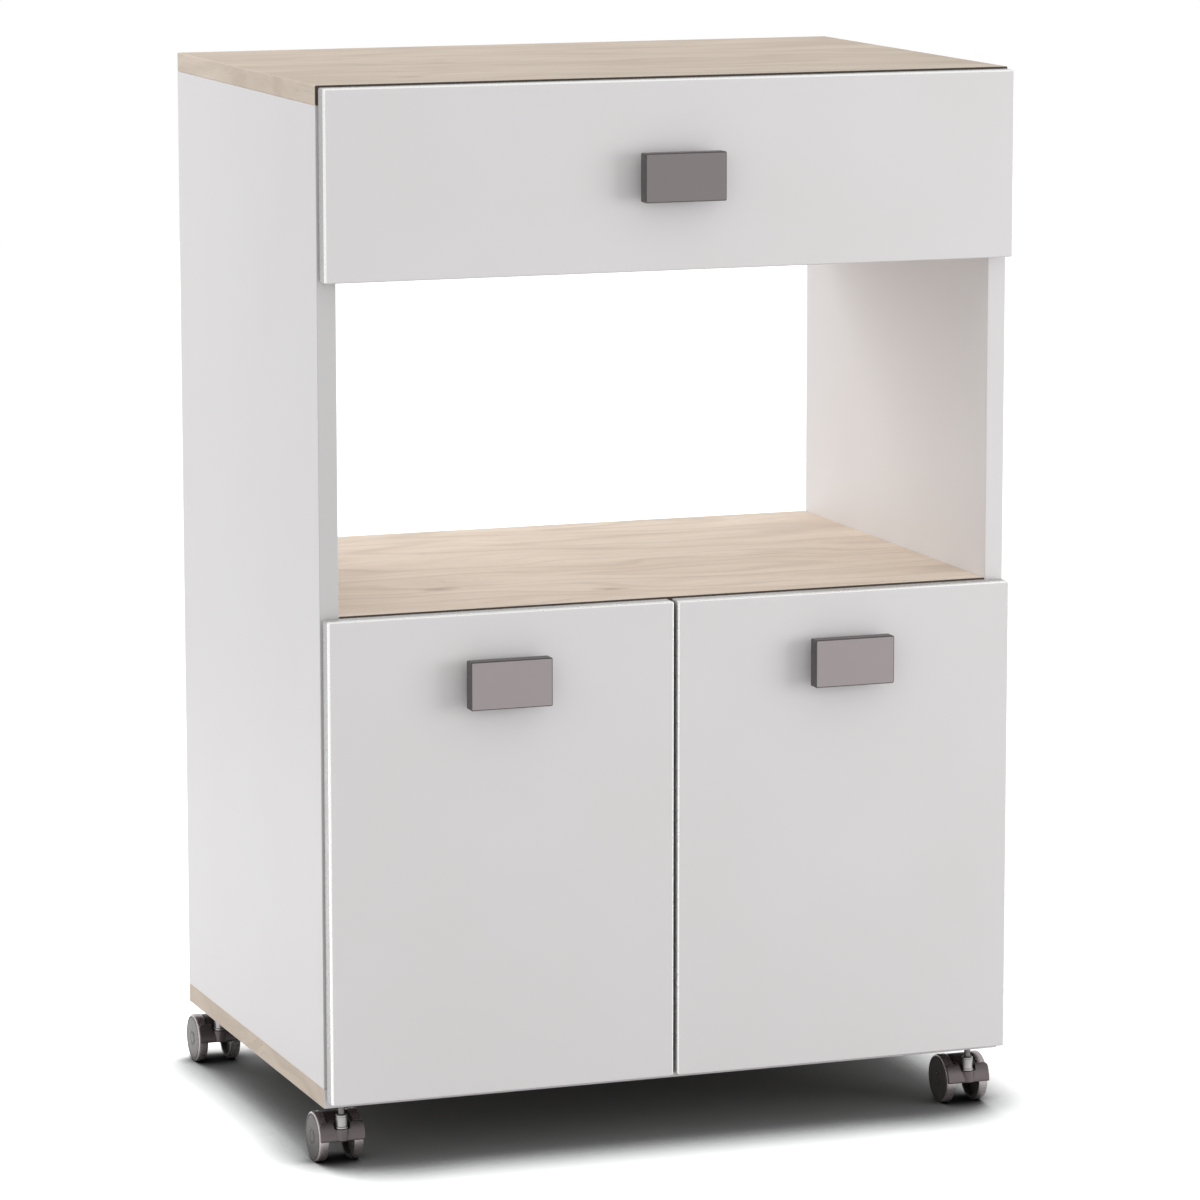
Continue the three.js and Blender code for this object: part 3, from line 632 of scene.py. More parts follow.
@dataclass(frozen=True)
class Melamine:
    """Pearl-textured white film on board, or its smoother edge strip.

    Its tone drifts to a slightly warmer one in broad clouds.
    """

    name: str
    tone: Colour
    gloss: float
    pearl: float
    warmth: Colour = (0.985, 0.972, 0.970)
    depth: float = 0.03 * MM

    def material(self) -> bpy.types.Material:
        """Builds the material.

        Returns:
            The white film.
        """
        sheet = CoatSheet(self.name)
        pearl = sheet.noise(sheet.place(), 1400.0, 2.0)
        cloud = sheet.noise(sheet.place(), 7.0, 2.0)
        warm = tuple(c * k for c, k in zip(self.tone, self.warmth))
        sheet.set(
            Base_Color=sheet.blended(cloud, 0.3, 0.7, self.tone, warm),
            Roughness=sheet.about(pearl, self.gloss, 0.04, 0.04),
        )
        sheet.bump(pearl, self.depth, self.pearl)
        return sheet.material


@dataclass(frozen=True)
class EdgeStrip:
    """Strip round a front, in two tones that paint light: a painted highlight beside the face, lighter than
    the white film and mirroring, and painted shade, a dark grey, towards the back.

    The change lies in one plane across y, the same for every front, and is softened.
    """

    name: str
    bright: Colour
    dull: Colour
    gloss: float
    mirror: float = 0.32
    plane: float = -202.2 * MM
    blur: float = 0.4 * MM

    def material(self) -> bpy.types.Material:
        """Builds the material.

        Returns:
            The two-tone strip.
        """
        sheet = CoatSheet(self.name)
        place = sheet.place()
        deep = sheet.add("SeparateXYZ", {0: place}, output=1)
        share = sheet.span(deep, self.plane - self.blur, self.plane + self.blur, 0.0, 1.0)
        wave = sheet.noise(place, 90.0, 2.0)
        # Painted highlight in front of the plane, painted shade behind it.
        sheet.set(
            Base_Color=sheet.mixed(share, self.bright, self.dull),
            Metallic=sheet.span(share, 0.0, 1.0, self.mirror, 0.0),
            Roughness=sheet.about(wave, self.gloss, 0.04, 0.04),
        )
        return sheet.material


@dataclass(frozen=True)
class Fibreboard:
    """Raw pressed fibre: brown, flecked and matt."""

    name: str
    tone: Colour
    depth: float = 0.15 * MM

    def material(self) -> bpy.types.Material:
        """Builds the material.

        Returns:
            The bare board.
        """
        sheet = CoatSheet(self.name)
        fleck = sheet.noise(sheet.place(), 260.0, 6.0, 0.75)
        cloud = sheet.noise(sheet.place(), 11.0, 3.0)
        colour = sheet.blended(fleck, 0.36, 0.66, shaded(self.tone, 0.62), shaded(self.tone, 1.18))
        colour = sheet.blended(cloud, 0.3, 0.7, colour, self.tone, 0.25)
        sheet.set(Base_Color=colour, Roughness=sheet.about(fleck, 0.78, 0.08, 0.08))
        sheet.bump(fleck, self.depth, 0.5)
        return sheet.material


@dataclass(frozen=True)
class Lacquer:
    """Sprayed satin coat with a faint orange peel."""

    name: str
    tone: Colour
    gloss: float
    metal: float = 0.0
    coat: float = 0.0
    depth: float = 0.05 * MM

    def material(self) -> bpy.types.Material:
        """Builds the material.

        Returns:
            The sprayed coat.
        """
        sheet = CoatSheet(self.name)
        peel = sheet.noise(sheet.place(), 520.0, 1.0)
        dust = sheet.noise(sheet.place(), 2600.0, 2.0)
        sheet.set(
            Base_Color=sheet.blended(dust, 0.35, 0.65, self.tone, shaded(self.tone, 1.08)),
            Roughness=sheet.about(peel, self.gloss, 0.03, 0.05),
            Metallic=self.metal,
            Coat_Weight=self.coat,
            Coat_Roughness=0.25,
        )
        sheet.bump(peel, self.depth, 0.35)
        return sheet.material


@dataclass(frozen=True)
class Moulded:
    """Injection-moulded plastic with a fine spark-eroded grain."""

    name: str
    tone: Colour
    gloss: float
    soft: float = 0.0
    depth: float = 0.03 * MM

    def material(self) -> bpy.types.Material:
        """Builds the material.

        Returns:
            The plastic.
        """
        sheet = CoatSheet(self.name)
        grain = sheet.noise(sheet.place(), 1900.0, 2.0)
        flow = sheet.noise(sheet.place((60.0, 60.0, 24.0)), 1.0, 2.0)
        sheet.set(
            Base_Color=sheet.blended(flow, 0.35, 0.65, self.tone, shaded(self.tone, 0.86)),
            Roughness=sheet.about(grain, self.gloss, 0.05, 0.06),
            Subsurface_Weight=self.soft,
            Subsurface_Scale=0.002,
        )
        sheet.bump(grain, self.depth, 0.4)
        return sheet.material


@dataclass(frozen=True)
class PlatedSteel:
    """Zinc or nickel plate over rolled or turned steel, with fine tool lines."""

    name: str
    tone: Colour
    gloss: float
    lines: tuple[float, float, float] = (40.0, 40.0, 1600.0)
    depth: float = 0.02 * MM

    def material(self) -> bpy.types.Material:
        """Builds the material.

        Returns:
            The plated metal.
        """
        sheet = CoatSheet(self.name)
        lines = sheet.noise(sheet.place(self.lines), 1.0, 3.0)
        cloud = sheet.noise(sheet.place(), 130.0, 3.0)
        sheet.set(
            Base_Color=sheet.blended(cloud, 0.3, 0.7, self.tone, shaded(self.tone, 0.80)),
            Metallic=1.0,
            Roughness=sheet.about(lines, self.gloss, 0.05, 0.07),
        )
        sheet.bump(lines, self.depth, 0.5)
        return sheet.material


class Finishes:
    """Every finish of the cart, each built once."""

    def __init__(self) -> None:
        """Builds the materials."""
        white = (0.803, 0.785, 0.790)
        # Tone of the painted highlight on the fronts' edge strips, lighter than the white film.
        bright = (0.95, 0.95, 0.94)
        # The three oak films are one decor at three brightnesses, each set to the light its board gets: the
        # niche shelf's is far lighter than the top's, which paints light into the niche's shade.
        top = OakDecor("oak_film_top", (0.635, 0.540, 0.445), (0.52, 0.430, 0.345),
                       knots=((-0.13, 0.03), (-0.20, -0.11)))
        shelf = OakDecor("oak_film_shelf", (0.93, 0.810, 0.685), (0.79, 0.665, 0.545),
                         knots=((-0.03, -0.125), (-0.165, -0.075)))
        base = OakDecor("oak_film_base", (0.72, 0.615, 0.510), (0.60, 0.500, 0.405))
        edge = OakDecor("oak_edge_strip", (0.745, 0.645, 0.545), (0.660, 0.560, 0.465))
        self.oak_top, self.oak_shelf, self.oak_base = top.material(), shelf.material(), base.material()
        self.oak_edge = edge.material()
        # Raw front edges of the top and the shelf: bare board, darkened further to paint the shade of the
        # gap behind the fronts.
        self.raw_front = Fibreboard("raw_board_front", (0.085, 0.068, 0.055)).material()
        self.white = Melamine("white_film", white, 0.46, 0.5).material()
        self.white_edge = Melamine("white_edge_strip", white, 0.38, 0.15).material()
        # Greyer strip for the left side panel's front edge only: painted shade.
        self.shaded_edge = Melamine("shaded_edge_strip", (0.665, 0.655, 0.652), 0.38, 0.15).material()
        # Fronts' edge strips: painted highlight beside the face, painted shade towards the back.
        self.front_edge = EdgeStrip("front_edge_strip", bright, (0.42, 0.415, 0.41), 0.28).material()
        # Underside of the bottom board: a brown backing film, darkened further to paint the shade under the
        # cart.
        self.backing = Fibreboard("backing_film", (0.130, 0.095, 0.072)).material()
        self.core = Fibreboard("chipboard_core", (0.46, 0.33, 0.20)).material()
        self.raw = Fibreboard("raw_hardboard", (0.33, 0.205, 0.115)).material()
        self.white_hardboard = Melamine("white_hardboard", (0.70, 0.69, 0.675), 0.55, 0.8).material()
        # One handle coat in two copies: darker on the drawer and lighter on the doors, painting how the
        # light falls on each.
        drawer_handle_shaded_tone, door_handle_lit_tone = (0.190, 0.168, 0.168), (0.335, 0.292, 0.296)
        # Near-black coat of the handles' rims and feet: part two-tone finish, part painted shade on the
        # handles' sides.
        rim_shade_tone = (0.050, 0.040, 0.041)
        self.handle_drawer = Lacquer("handle_coat_drawer", drawer_handle_shaded_tone, 0.42, coat=0.15).material()
        self.handle_door = Lacquer("handle_coat_door", door_handle_lit_tone, 0.42, coat=0.15).material()
        self.handle_side = Lacquer("handle_coat_rim", rim_shade_tone, 0.40, coat=0.15).material()
        self.caster_body = Lacquer("caster_pewter", (0.112, 0.093, 0.094), 0.36, metal=0.6).material()
        # Near-black coat of the casters' web plates: painted shade between the wheels, under the board.
        self.caster_core = Lacquer("caster_dark", (0.040, 0.030, 0.030), 0.42).material()
        self.wheel = Lacquer("wheel_pewter", (0.066, 0.055, 0.053), 0.40, metal=0.2).material()
        self.tread = Lacquer("tread_pewter", (0.400, 0.360, 0.360), 0.28, metal=0.85).material()
        self.zinc = PlatedSteel("zinc_plate", (0.70, 0.69, 0.675), 0.30).material()
        self.stem_zinc = PlatedSteel("stem_zinc_plate", (0.36, 0.345, 0.342), 0.36).material()
        # Darker plate for the casters' necks: painted shade under the board.
        self.neck_steel = PlatedSteel("neck_steel", (0.14, 0.130, 0.128), 0.40).material()
        self.nickel = PlatedSteel("nickel_plate", (0.66, 0.635, 0.60), 0.26).material()
        self.enamel = Lacquer("runner_enamel", (0.80, 0.79, 0.77), 0.34).material()
        self.nylon = Moulded("roller_nylon", (0.70, 0.685, 0.65), 0.45, soft=0.15).material()
        self.cap = Moulded("cap_plastic", (0.76, 0.755, 0.745), 0.45).material()
        self.dark_plastic = Moulded("socket_plastic", (0.055, 0.050, 0.050), 0.45).material()


# ------------------------------------------------------------------ making pieces


def grain_map(mesh: bpy.types.Mesh) -> None:
    """Lays a flat map in metres over a board, with its first axis along the grain.

    A face that looks along z takes (x, y), one along y takes (x, z), and one along x takes
    (y, z). The last two are shifted, so that an edge strip doesn't repeat the face beside it.

    Args:
        mesh: The board's mesh, in place.
    """
    normal = np.zeros(len(mesh.polygons) * 3)
    mesh.polygons.foreach_get("normal", normal)
    facing = abs(normal.reshape(-1, 3)).argmax(axis=1)
    count = np.zeros(len(mesh.polygons), int)
    mesh.polygons.foreach_get("loop_total", count)
    corner_facing = np.repeat(facing, count)
    corner_point = np.zeros(len(mesh.loops), int)
    mesh.loops.foreach_get("vertex_index", corner_point)
    points = np.zeros(len(mesh.vertices) * 3)
    mesh.vertices.foreach_get("co", points)
    place = points.reshape(-1, 3)[corner_point]
    axes = np.array([(1, 2), (0, 2), (0, 1)])[corner_facing]
    shift = np.array([(2.1, 0.7), (0.4, 1.3), (0.0, 0.0)])[corner_facing]
    flat = np.take_along_axis(place, axes, axis=1) + shift
    mesh.uv_layers.new(name="grain").data.foreach_set("uv", flat.astype(np.float32).ravel())


def make_piece(
    name: str,
    shell: Shell,
    finishes: Sequence[bpy.types.Material],
    body: str,
    stands_for: Sequence[str] = (),
) -> bpy.types.Object:
    """Turns a shell into a finished object on its body.

    Args:
        name: Object name.
        shell: Its points and faces in place.
        finishes: Materials, in the order of the shell's tones.
        body: Body that carries it.
        stands_for: Frame nodes that it replaces.

    Returns:
        The new object.
    """
    mesh = bpy.data.meshes.new(name)
    mesh.from_pydata(shell.points.tolist(), [], shell.faces)
    mesh.polygons.foreach_set("material_index", shell.tones)
    work = bmesh.new()
    work.from_mesh(mesh)
    bmesh.ops.remove_doubles(work, verts=work.verts, dist=WELD)
    bmesh.ops.recalc_face_normals(work, faces=work.faces)
    work.to_mesh(mesh)
    work.free()
    for finish in finishes:
        mesh.materials.append(finish)
    mesh.shade_smooth()
    mesh.set_sharp_from_angle(angle=CREASE)
    if any(finish.name.startswith("oak") for finish in finishes):
        grain_map(mesh)
    piece = bpy.data.objects.new(name, mesh)
    bpy.context.scene.collection.objects.link(piece)
    even = piece.modifiers.new("level faces", "WEIGHTED_NORMAL")
    even.keep_sharp = True
    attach(piece, body)
    if stands_for:
        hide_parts(*stands_for)
    log.info("%s: %d faces on %s", name, len(mesh.polygons), body)
    return piece


def board_shell(
    low: Vector,
    high: Vector,
    thin: int,
    edge: float = 0.6 * MM,
    corner: float = 1.0 * MM,
    bores: Sequence[Bore] = (),
    tones: tuple[int, int, int, int] = (0, 1, 0, 2),
) -> Shell:
    """Board between two corners, with softened edges.

    Args:
        low: Lowest corner.
        high: Highest corner.
        thin: Axis number across the board's thickness.
        edge: Rounding along the faces.
        corner: Rounding of the four short edges.
        bores: Blind holes, with centres in the frame's own axes.
        tones: Finish numbers of the low face, the edges, the high face and the holes.

    Returns:
        The board in place.
    """
    a, b, c = FACE_AXES[thin]
    outline = box_outline(high[a] - low[a], high[b] - low[b], corner, 3)
    outline = outline + np.array([(low[a] + high[a]) / 2, (low[b] + high[b]) / 2])
    plate = slab(outline, high[c] - low[c], edge, bores, tones)
    points = np.empty_like(plate.points)
    points[:, a], points[:, b] = plate.points[:, 0], plate.points[:, 1]
    points[:, c] = plate.points[:, 2] + low[c]
    return Shell(points, plate.faces, plate.tones)


def tone_below(shell: Shell, axis: int, limit: float, tone: int) -> None:
    """Gives the faces that lie below a limit along an axis their own tone.

    Args:
        shell: The shell, whose tones are changed.
        axis: Axis number.
        limit: Faces whose middle lies below it take the tone.
        tone: Finish number for them.
    """
    for number, face in enumerate(shell.faces):
        if shell.points[face, axis].mean() < limit:
            shell.tones[number] = tone


def middle(node: str) -> Vector:
    """Centre of a frame node's box."""
    low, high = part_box(node)
    return (low + high) / 2


def joint_place(frame: dict, name: str) -> Vector:
    """Point on a joint's axis."""
    return Vector(next(j["pos_m"] for j in frame["joints"] if j["name"] == name))


# ------------------------------------------------------------------ carcass


@dataclass
class Carcass:
    """Panels, back panels and the fasteners that hold them."""

    frame: dict
    finishes: Finishes
    body: str = "cabinet"
    edge: float = 0.7 * MM
    pin_hole_radius: float = 2.65 * MM
    pin_hole_depth: float = 9.15 * MM
    pin_hole_pitch: float = 32 * MM
    pin_holes: int = 3
    stem_hole_radius: float = 3.3 * MM
    stem_hole_depth: float = 12.3 * MM
    cap_radius: float = 8.5 * MM
    cap_height: float = 0.7 * MM
    cap_from_edge: float = 34 * MM
    cap_from_front: float = 60 * MM
    sheet_edge: float = 0.2 * MM
    nail_radius: float = 1.5 * MM
    nail_height: float = 0.35 * MM
    nail_spacing: float = 0.115
    nail_from_edge: float = 6 * MM

    def build(self) -> None:
        """Makes every carcass piece."""
        self.panels()
        self.backs()
        self.cam_caps()
        self.nails()

    def panels(self) -> None:
        """The oak and white boards, each with its edge strips.

        The fronts of the two upper oak boards, behind the drawer front and the doors, are raw board
        darkened far below the bare core, which paints the shade in the gap behind the fronts.
        """
        f = self.finishes
        oak_boards = (("top_panel", f.oak_top, f.oak_edge), ("niche_shelf", f.oak_shelf, f.oak_shelf))
        for node, film, strip_film in oak_boards:
            low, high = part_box(node)
            shell = board_shell(low, high, thin=2, edge=self.edge, tones=(0, 2, 0, 0))
            # The front faces take the darkened raw board: painted shade.
            tone_below(shell, 1, low.y + 0.5 * self.edge, 1)
            films = (film, f.raw_front, strip_film)
            make_piece(f"{node}_board", shell, films, self.body, (node,))
        bores = [
            Bore((spot.x, spot.y), self.stem_hole_radius, self.stem_hole_depth, opens_high=False)
            for spot in self.stem_spots()
        ]
        low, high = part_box("bottom_panel")
        shell = board_shell(low, high, thin=2, edge=self.edge, bores=bores, tones=(0, 1, 4, 2))
        tone_below(shell, 1, low.y + 0.5 * self.edge, 3)
        # The underside takes the darkened backing film: painted shade.
        films = (f.backing, f.oak_base, f.core, f.white_edge, f.oak_base)
        make_piece("bottom_panel_board", shell, films, self.body, ("bottom_panel",))
        shell = board_shell(*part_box("niche_ceiling"), thin=2, edge=self.edge)
        films = (f.white, f.white_edge)
        make_piece("niche_ceiling_board", shell, films, self.body, ("niche_ceiling",))
        for side in Side:
            self.side_panel(side)

    def stem_spots(self) -> list[Vector]:
        """Swivel axes of the four casters."""
        return [joint_place(self.frame, f"{corner}_swivel") for corner in CORNERS]

    def side_panel(self, side: Side) -> None:
        """One side panel with its two rows of shelf-pin holes.

        Args:
            side: Which of the two panels.
        """
        node = f"side_panel_{side.word}"
        bores = []
        for end in ("front", "rear"):
            pin_axis = middle(f"shelf_pin_{end}_{side.word}")
            steps = np.arange(self.pin_holes) - (self.pin_holes - 1) / 2
            for z in pin_axis.z + steps * self.pin_hole_pitch:
                inner_is_high = side is Side.LEFT
                place = (pin_axis.y, float(z))
                bores.append(Bore(place, self.pin_hole_radius, self.pin_hole_depth, inner_is_high, 24))
        low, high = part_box(node)
        shell = board_shell(low, high, thin=0, edge=self.edge, bores=bores)
        tone_below(shell, 1, low.y + 0.5 * self.edge, 3)
        f = self.finishes
        # The left panel's front edge takes a greyer strip than the right's, which paints shade there.
        films = (f.white, f.white_edge, f.core, f.shaded_edge if side is Side.LEFT else f.white_edge)
        make_piece(f"{node}_board", shell, films, self.body, (node,))

    def backs(self) -> None:
        """Hardboard backs: white inside, raw outside."""
        f = self.finishes
        for node in ("cupboard_back", "drawer_bay_back"):
            shell = board_shell(*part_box(node), thin=1, edge=self.sheet_edge, tones=(0, 1, 1, 1))
            films = (f.white_hardboard, f.raw)
            make_piece(f"{node}_sheet", shell, films, self.body, (node,))

    def cam_caps(self) -> None:
        """White caps over the connectors, where board meets board inside the cart."""
        h, r = self.cap_height, self.cap_radius
        profile = [(0, 0), (r, 0), (r, 0.5 * h), (0.9 * r, 0.95 * h), (0.3 * r, h), (0, h)]
        cap_disc = lathe(profile, 40)
        low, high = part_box("bottom_panel")
        shelf_low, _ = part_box("niche_shelf")
        _, ceiling_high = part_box("niche_ceiling")
        top_low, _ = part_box("top_panel")
        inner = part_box("side_panel_right")[0].x
        caps = []
        for side in Side:
            for y in (low.y + self.cap_from_front, high.y - self.cap_from_front):
                x = side.value * (inner - self.cap_from_edge)
                under_shelf = cap_disc.turned(X, Y, DOWN).moved(x, y, shelf_low.z)
                on_ceiling = cap_disc.moved(x, y, ceiling_high.z)
                caps += [under_shelf, on_ceiling]
                for z in (high.z + self.cap_from_edge, top_low.z - self.cap_from_edge):
                    upright = cap_disc.turned(Y, Z, (-side.value, 0, 0))
                    caps.append(upright.moved(side.value * inner, y, z))
        make_piece("connector_caps", gathered(caps), (self.finishes.cap,), self.body)

    def nails(self) -> None:
        """Nail heads round both backs."""
        r, h = self.nail_radius, self.nail_height
        head = lathe([(0, 0), (r, 0), (r, 0.4 * h), (0.7 * r, h), (0, h)], 12).turned(X, Z, Y)
        for node in ("cupboard_back", "drawer_bay_back"):
            low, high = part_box(node)
            inset_x = np.array([low.x, high.x]) + np.array([1, -1]) * self.nail_from_edge
            inset_z = np.array([low.z, high.z]) + np.array([1, -1]) * self.nail_from_edge
            columns = np.linspace(*inset_x, round((high.x - low.x) / self.nail_spacing) + 1)
            rows = np.linspace(*inset_z, max(round((high.z - low.z) / self.nail_spacing), 1) + 1)
            places = [(x, z) for x in columns for z in inset_z]
            places += [(x, z) for x in inset_x for z in rows[1:-1]]
            heads = gathered(head.moved(x, high.y, z) for x, z in places)
            make_piece(f"{node}_nails", heads, (self.finishes.zinc,), self.body)


@dataclass
class InnerShelf:
    """Loose shelf in the cupboard, on four steel pins."""

    finishes: Finishes
    body: str = "cabinet"
    shank_radius: float = 2.5 * MM
    support_radius: float = 3.5 * MM
    support_length: float = 8 * MM
    shank_length: float = 9 * MM
    ease: float = 0.6 * MM

    def build(self) -> None:
        """Makes the shelf and its pins."""
        f = self.finishes
        shell = board_shell(*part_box("cupboard_shelf"), thin=2)
        make_piece("cupboard_shelf_board", shell, (f.white, f.white_edge), self.body,
                   ("cupboard_shelf",))
        r, s, t = self.shank_radius, self.support_radius, self.ease
        profile = [(0, -self.shank_length), (r - t, -self.shank_length), (r, t - self.shank_length)]
        profile += [(r, 0), (s, 0), (s, self.support_length - t)]
        profile += [(s - 0.3 * t, self.support_length - 0.3 * t), (s - t, self.support_length)]
        peg = lathe(profile + [(0, self.support_length)], 32)
        for side in Side:
            inner = side.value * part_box("side_panel_right")[0].x
            for end in ("front", "rear"):
                node = f"shelf_pin_{end}_{side.word}"
                place = middle(node)
                shell = peg.turned(Y, Z, (-side.value, 0, 0)).moved(inner, place.y, place.z)
                make_piece(f"{node}_peg", shell, (f.zinc,), self.body, (node,))


# ------------------------------------------------------------------ handles and fronts


@dataclass
class BlockHandle:
    """Thick rectangular plate on a smaller foot, held by two screws from behind."""

    finishes: Finishes
    node: str
    body: str
    face: bpy.types.Material
    plate: float = 12 * MM
    edge: float = 0.9 * MM
    corner: float = 1.3 * MM
    foot_width: float = 28 * MM
    foot_height: float = 16 * MM
    foot_edge: float = 0.2 * MM
    screw_spacing: float = 16 * MM
    screw_radius: float = 3.6 * MM
    screw_height: float = 2.0 * MM

    def build(self) -> None:
        """Makes the plate, the foot and the screw heads behind the front."""
        low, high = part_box(self.node)
        width, height, centre = high.x - low.x, high.z - low.z, (low + high) / 2
        outline = box_outline(width, height, self.corner)
        block = slab(outline, self.plate, self.edge, tones=(0, 1, 1, 1), steps=4)
        shell = block.turned(X, Z, Y).moved(centre.x, low.y, centre.z)
        # The rim and the foot take a near-black coat: part two-tone finish, part painted shade on the
        # handle's sides.
        finishes = (self.face, self.finishes.handle_side)
        make_piece(f"{self.node}_plate", shell, finishes, self.body, (self.node,))
        outline = box_outline(self.foot_width, self.foot_height, self.corner)
        reach = high.y - low.y - self.plate
        foot = slab(outline, reach, self.foot_edge, steps=2).turned(X, Z, Y)
        shell = foot.moved(centre.x, low.y + self.plate, centre.z)
        finishes = (self.finishes.handle_side,)
        make_piece(f"{self.node}_foot", shell, finishes, self.body)

    def screws(self, behind: float) -> Shell:
        """Screw heads on the back of the front that carries the handle.

        Args:
            behind: The y of that back face.

        Returns:
            Both heads in place.
        """
        centre = middle(self.node)
        head = screw_head(self.screw_radius, self.screw_height).turned(X, Z, Y)
        spots = (centre.x - self.screw_spacing / 2, centre.x + self.screw_spacing / 2)
        return gathered(head.moved(x, behind, centre.z) for x in spots)


@dataclass
class CupHinge:
    """Concealed hinge at the origin of its pin: x inwards, y into the cabinet, z up."""

    cup_radius: float = 17.5 * MM
    cup_wall: float = 0.8 * MM
    cup_ease: float = 1.2 * MM
    lip_ease: float = 0.3 * MM
    lip_slopes: tuple[float, float] = (0.25 * MM, 0.2 * MM)
    cup_centre: float = 13.5 * MM
    cup_floor: float = -3.5 * MM
    door_face: float = 8.5 * MM
    flange: float = 1.2 * MM
    wing_width: float = 17 * MM
    wing_reach: float = 29 * MM
    wing_screw: float = 24 * MM
    wing_tip: float = 6 * MM
    wing_edge: float = 0.25 * MM
    pin_radius: float = 1.25 * MM
    pin_chamfer: float = 0.1 * MM
    play: float = 0.2 * MM
    eye_radius: float = 2.5 * MM
    soft_edge: float = 0.3 * MM
    sheet: float = 2 * MM
    neck_width: float = 8 * MM
    neck_bend: float = 2.6 * MM
    stem_middle: float = 12 * MM
    body_start: float = 13 * MM
    body_end: float = 66 * MM
    body_open: float = 11 * MM
    web: float = 20 * MM
    body_width: float = 16 * MM
    wall: float = 1.4 * MM
    ramp: float = 8 * MM
    outer_bend: float = 1.2 * MM
    inner_bend: float = 0.4 * MM
    panel: float = 7.5 * MM
    plate_middle: float = 48 * MM
    plate_width: float = 14 * MM
    plate_height: float = 48 * MM
    plate_corner: float = 6 * MM
    plate_thickness: float = 2.5 * MM
    plate_edge: float = 0.4 * MM
    plate_screw: float = 16 * MM
    spine_length: float = 32 * MM
    spine_height: float = 12 * MM
    spine_corner: float = 1 * MM
    adjusters: tuple[float, float] = (30 * MM, 54 * MM)
    screw_radius: float = 3.4 * MM
    screw_height: float = 1.5 * MM

    def cup(self) -> Shell:
        """Drawn bowl with two screw wings, and the pin across it.

        The bowl is a profile turned round the cup's axis. Each wing is bounded by the arc of the
        bowl's seat and by an eased tongue.

        Returns:
            The bowl, both wings and the pin.
        """
        r, inner = self.cup_radius, self.cup_radius - self.cup_wall
        floor, rim = self.cup_floor, self.door_face + self.flange
        ease, lip, bed = self.cup_ease, self.lip_ease, self.cup_floor + self.cup_wall
        profile = [(0, floor), (r - ease, floor), (r - 0.3 * ease, floor + 0.3 * ease), (r, floor + ease)]
        outside, inside = self.lip_slopes
        profile += [(r, rim - lip), (r - outside, rim), (inner + inside, rim), (inner, rim - lip)]
        profile += [(inner, bed + ease), (inner - 0.4 * ease, bed + 0.3 * ease)]
        profile += [(inner - ease, bed), (0, bed)]
        bowl = lathe(profile, 96).turned(X, Z, Y)
        half = self.wing_width / 2
        seat = r - self.cup_wall / 2
        lean = math.asin(half / seat)
        sweep = np.linspace(math.pi / 2 + lean, math.pi / 2 - lean, 13)
        arc = np.stack([seat * np.cos(sweep), seat * np.sin(sweep)], axis=1)
        tip = eased([(half, seat), (half, self.wing_reach), (-half, self.wing_reach), (-half, seat)],
                    self.wing_tip, 6, closed=False)[1:-1]
        wing = slab(np.vstack([arc, tip]), self.flange, self.wing_edge, steps=2)
        upper = wing.turned(X, Z, Y).moved(0, self.door_face, 0)
        lower = wing.turned(X, DOWN, Y).moved(0, self.door_face, 0)
        half_pin = math.sqrt(seat**2 - (self.cup_centre + self.pin_radius) ** 2)
        across = pin(self.pin_radius, 2 * half_pin, self.pin_chamfer)
        return (bowl + upper + lower).moved(self.cup_centre, 0, 0) + across

    def cup_screws(self) -> Shell:
        """Heads on the two wings.

        Returns:
            Both heads.
        """
        head = screw_head(self.screw_radius, self.screw_height).turned(X, Z, Y)
        level = self.door_face + self.flange
        spots = (self.wing_screw, -self.wing_screw)
        return gathered(head.moved(self.cup_centre, level, z) for z in spots)

    def arm(self) -> Shell:
        """Goose neck with its eye round the pin, channel, and mounting plate on the panel.

        Returns:
            All parts of the arm.
        """
        line = [(0, -self.sheet / 2), (self.stem_middle, -self.sheet / 2)]
        line += [(self.stem_middle, self.body_start + self.wall)]
        path = eased(line, self.neck_bend, 8, closed=False)
        neck = slab(strip(path, self.sheet), self.neck_width, self.soft_edge, steps=2)
        neck = neck.moved(0, 0, -self.neck_width / 2)
        hole, eye, end = self.pin_radius + self.play, self.eye_radius, self.neck_width / 2
        profile = [(hole, -end), (eye - self.soft_edge, -end), (eye, self.soft_edge - end)]
        knuckle = lathe(profile + [(r, -h) for r, h in reversed(profile)], 40, ring=True)
        return gathered([neck, knuckle, self.channel(), *self.plate()])

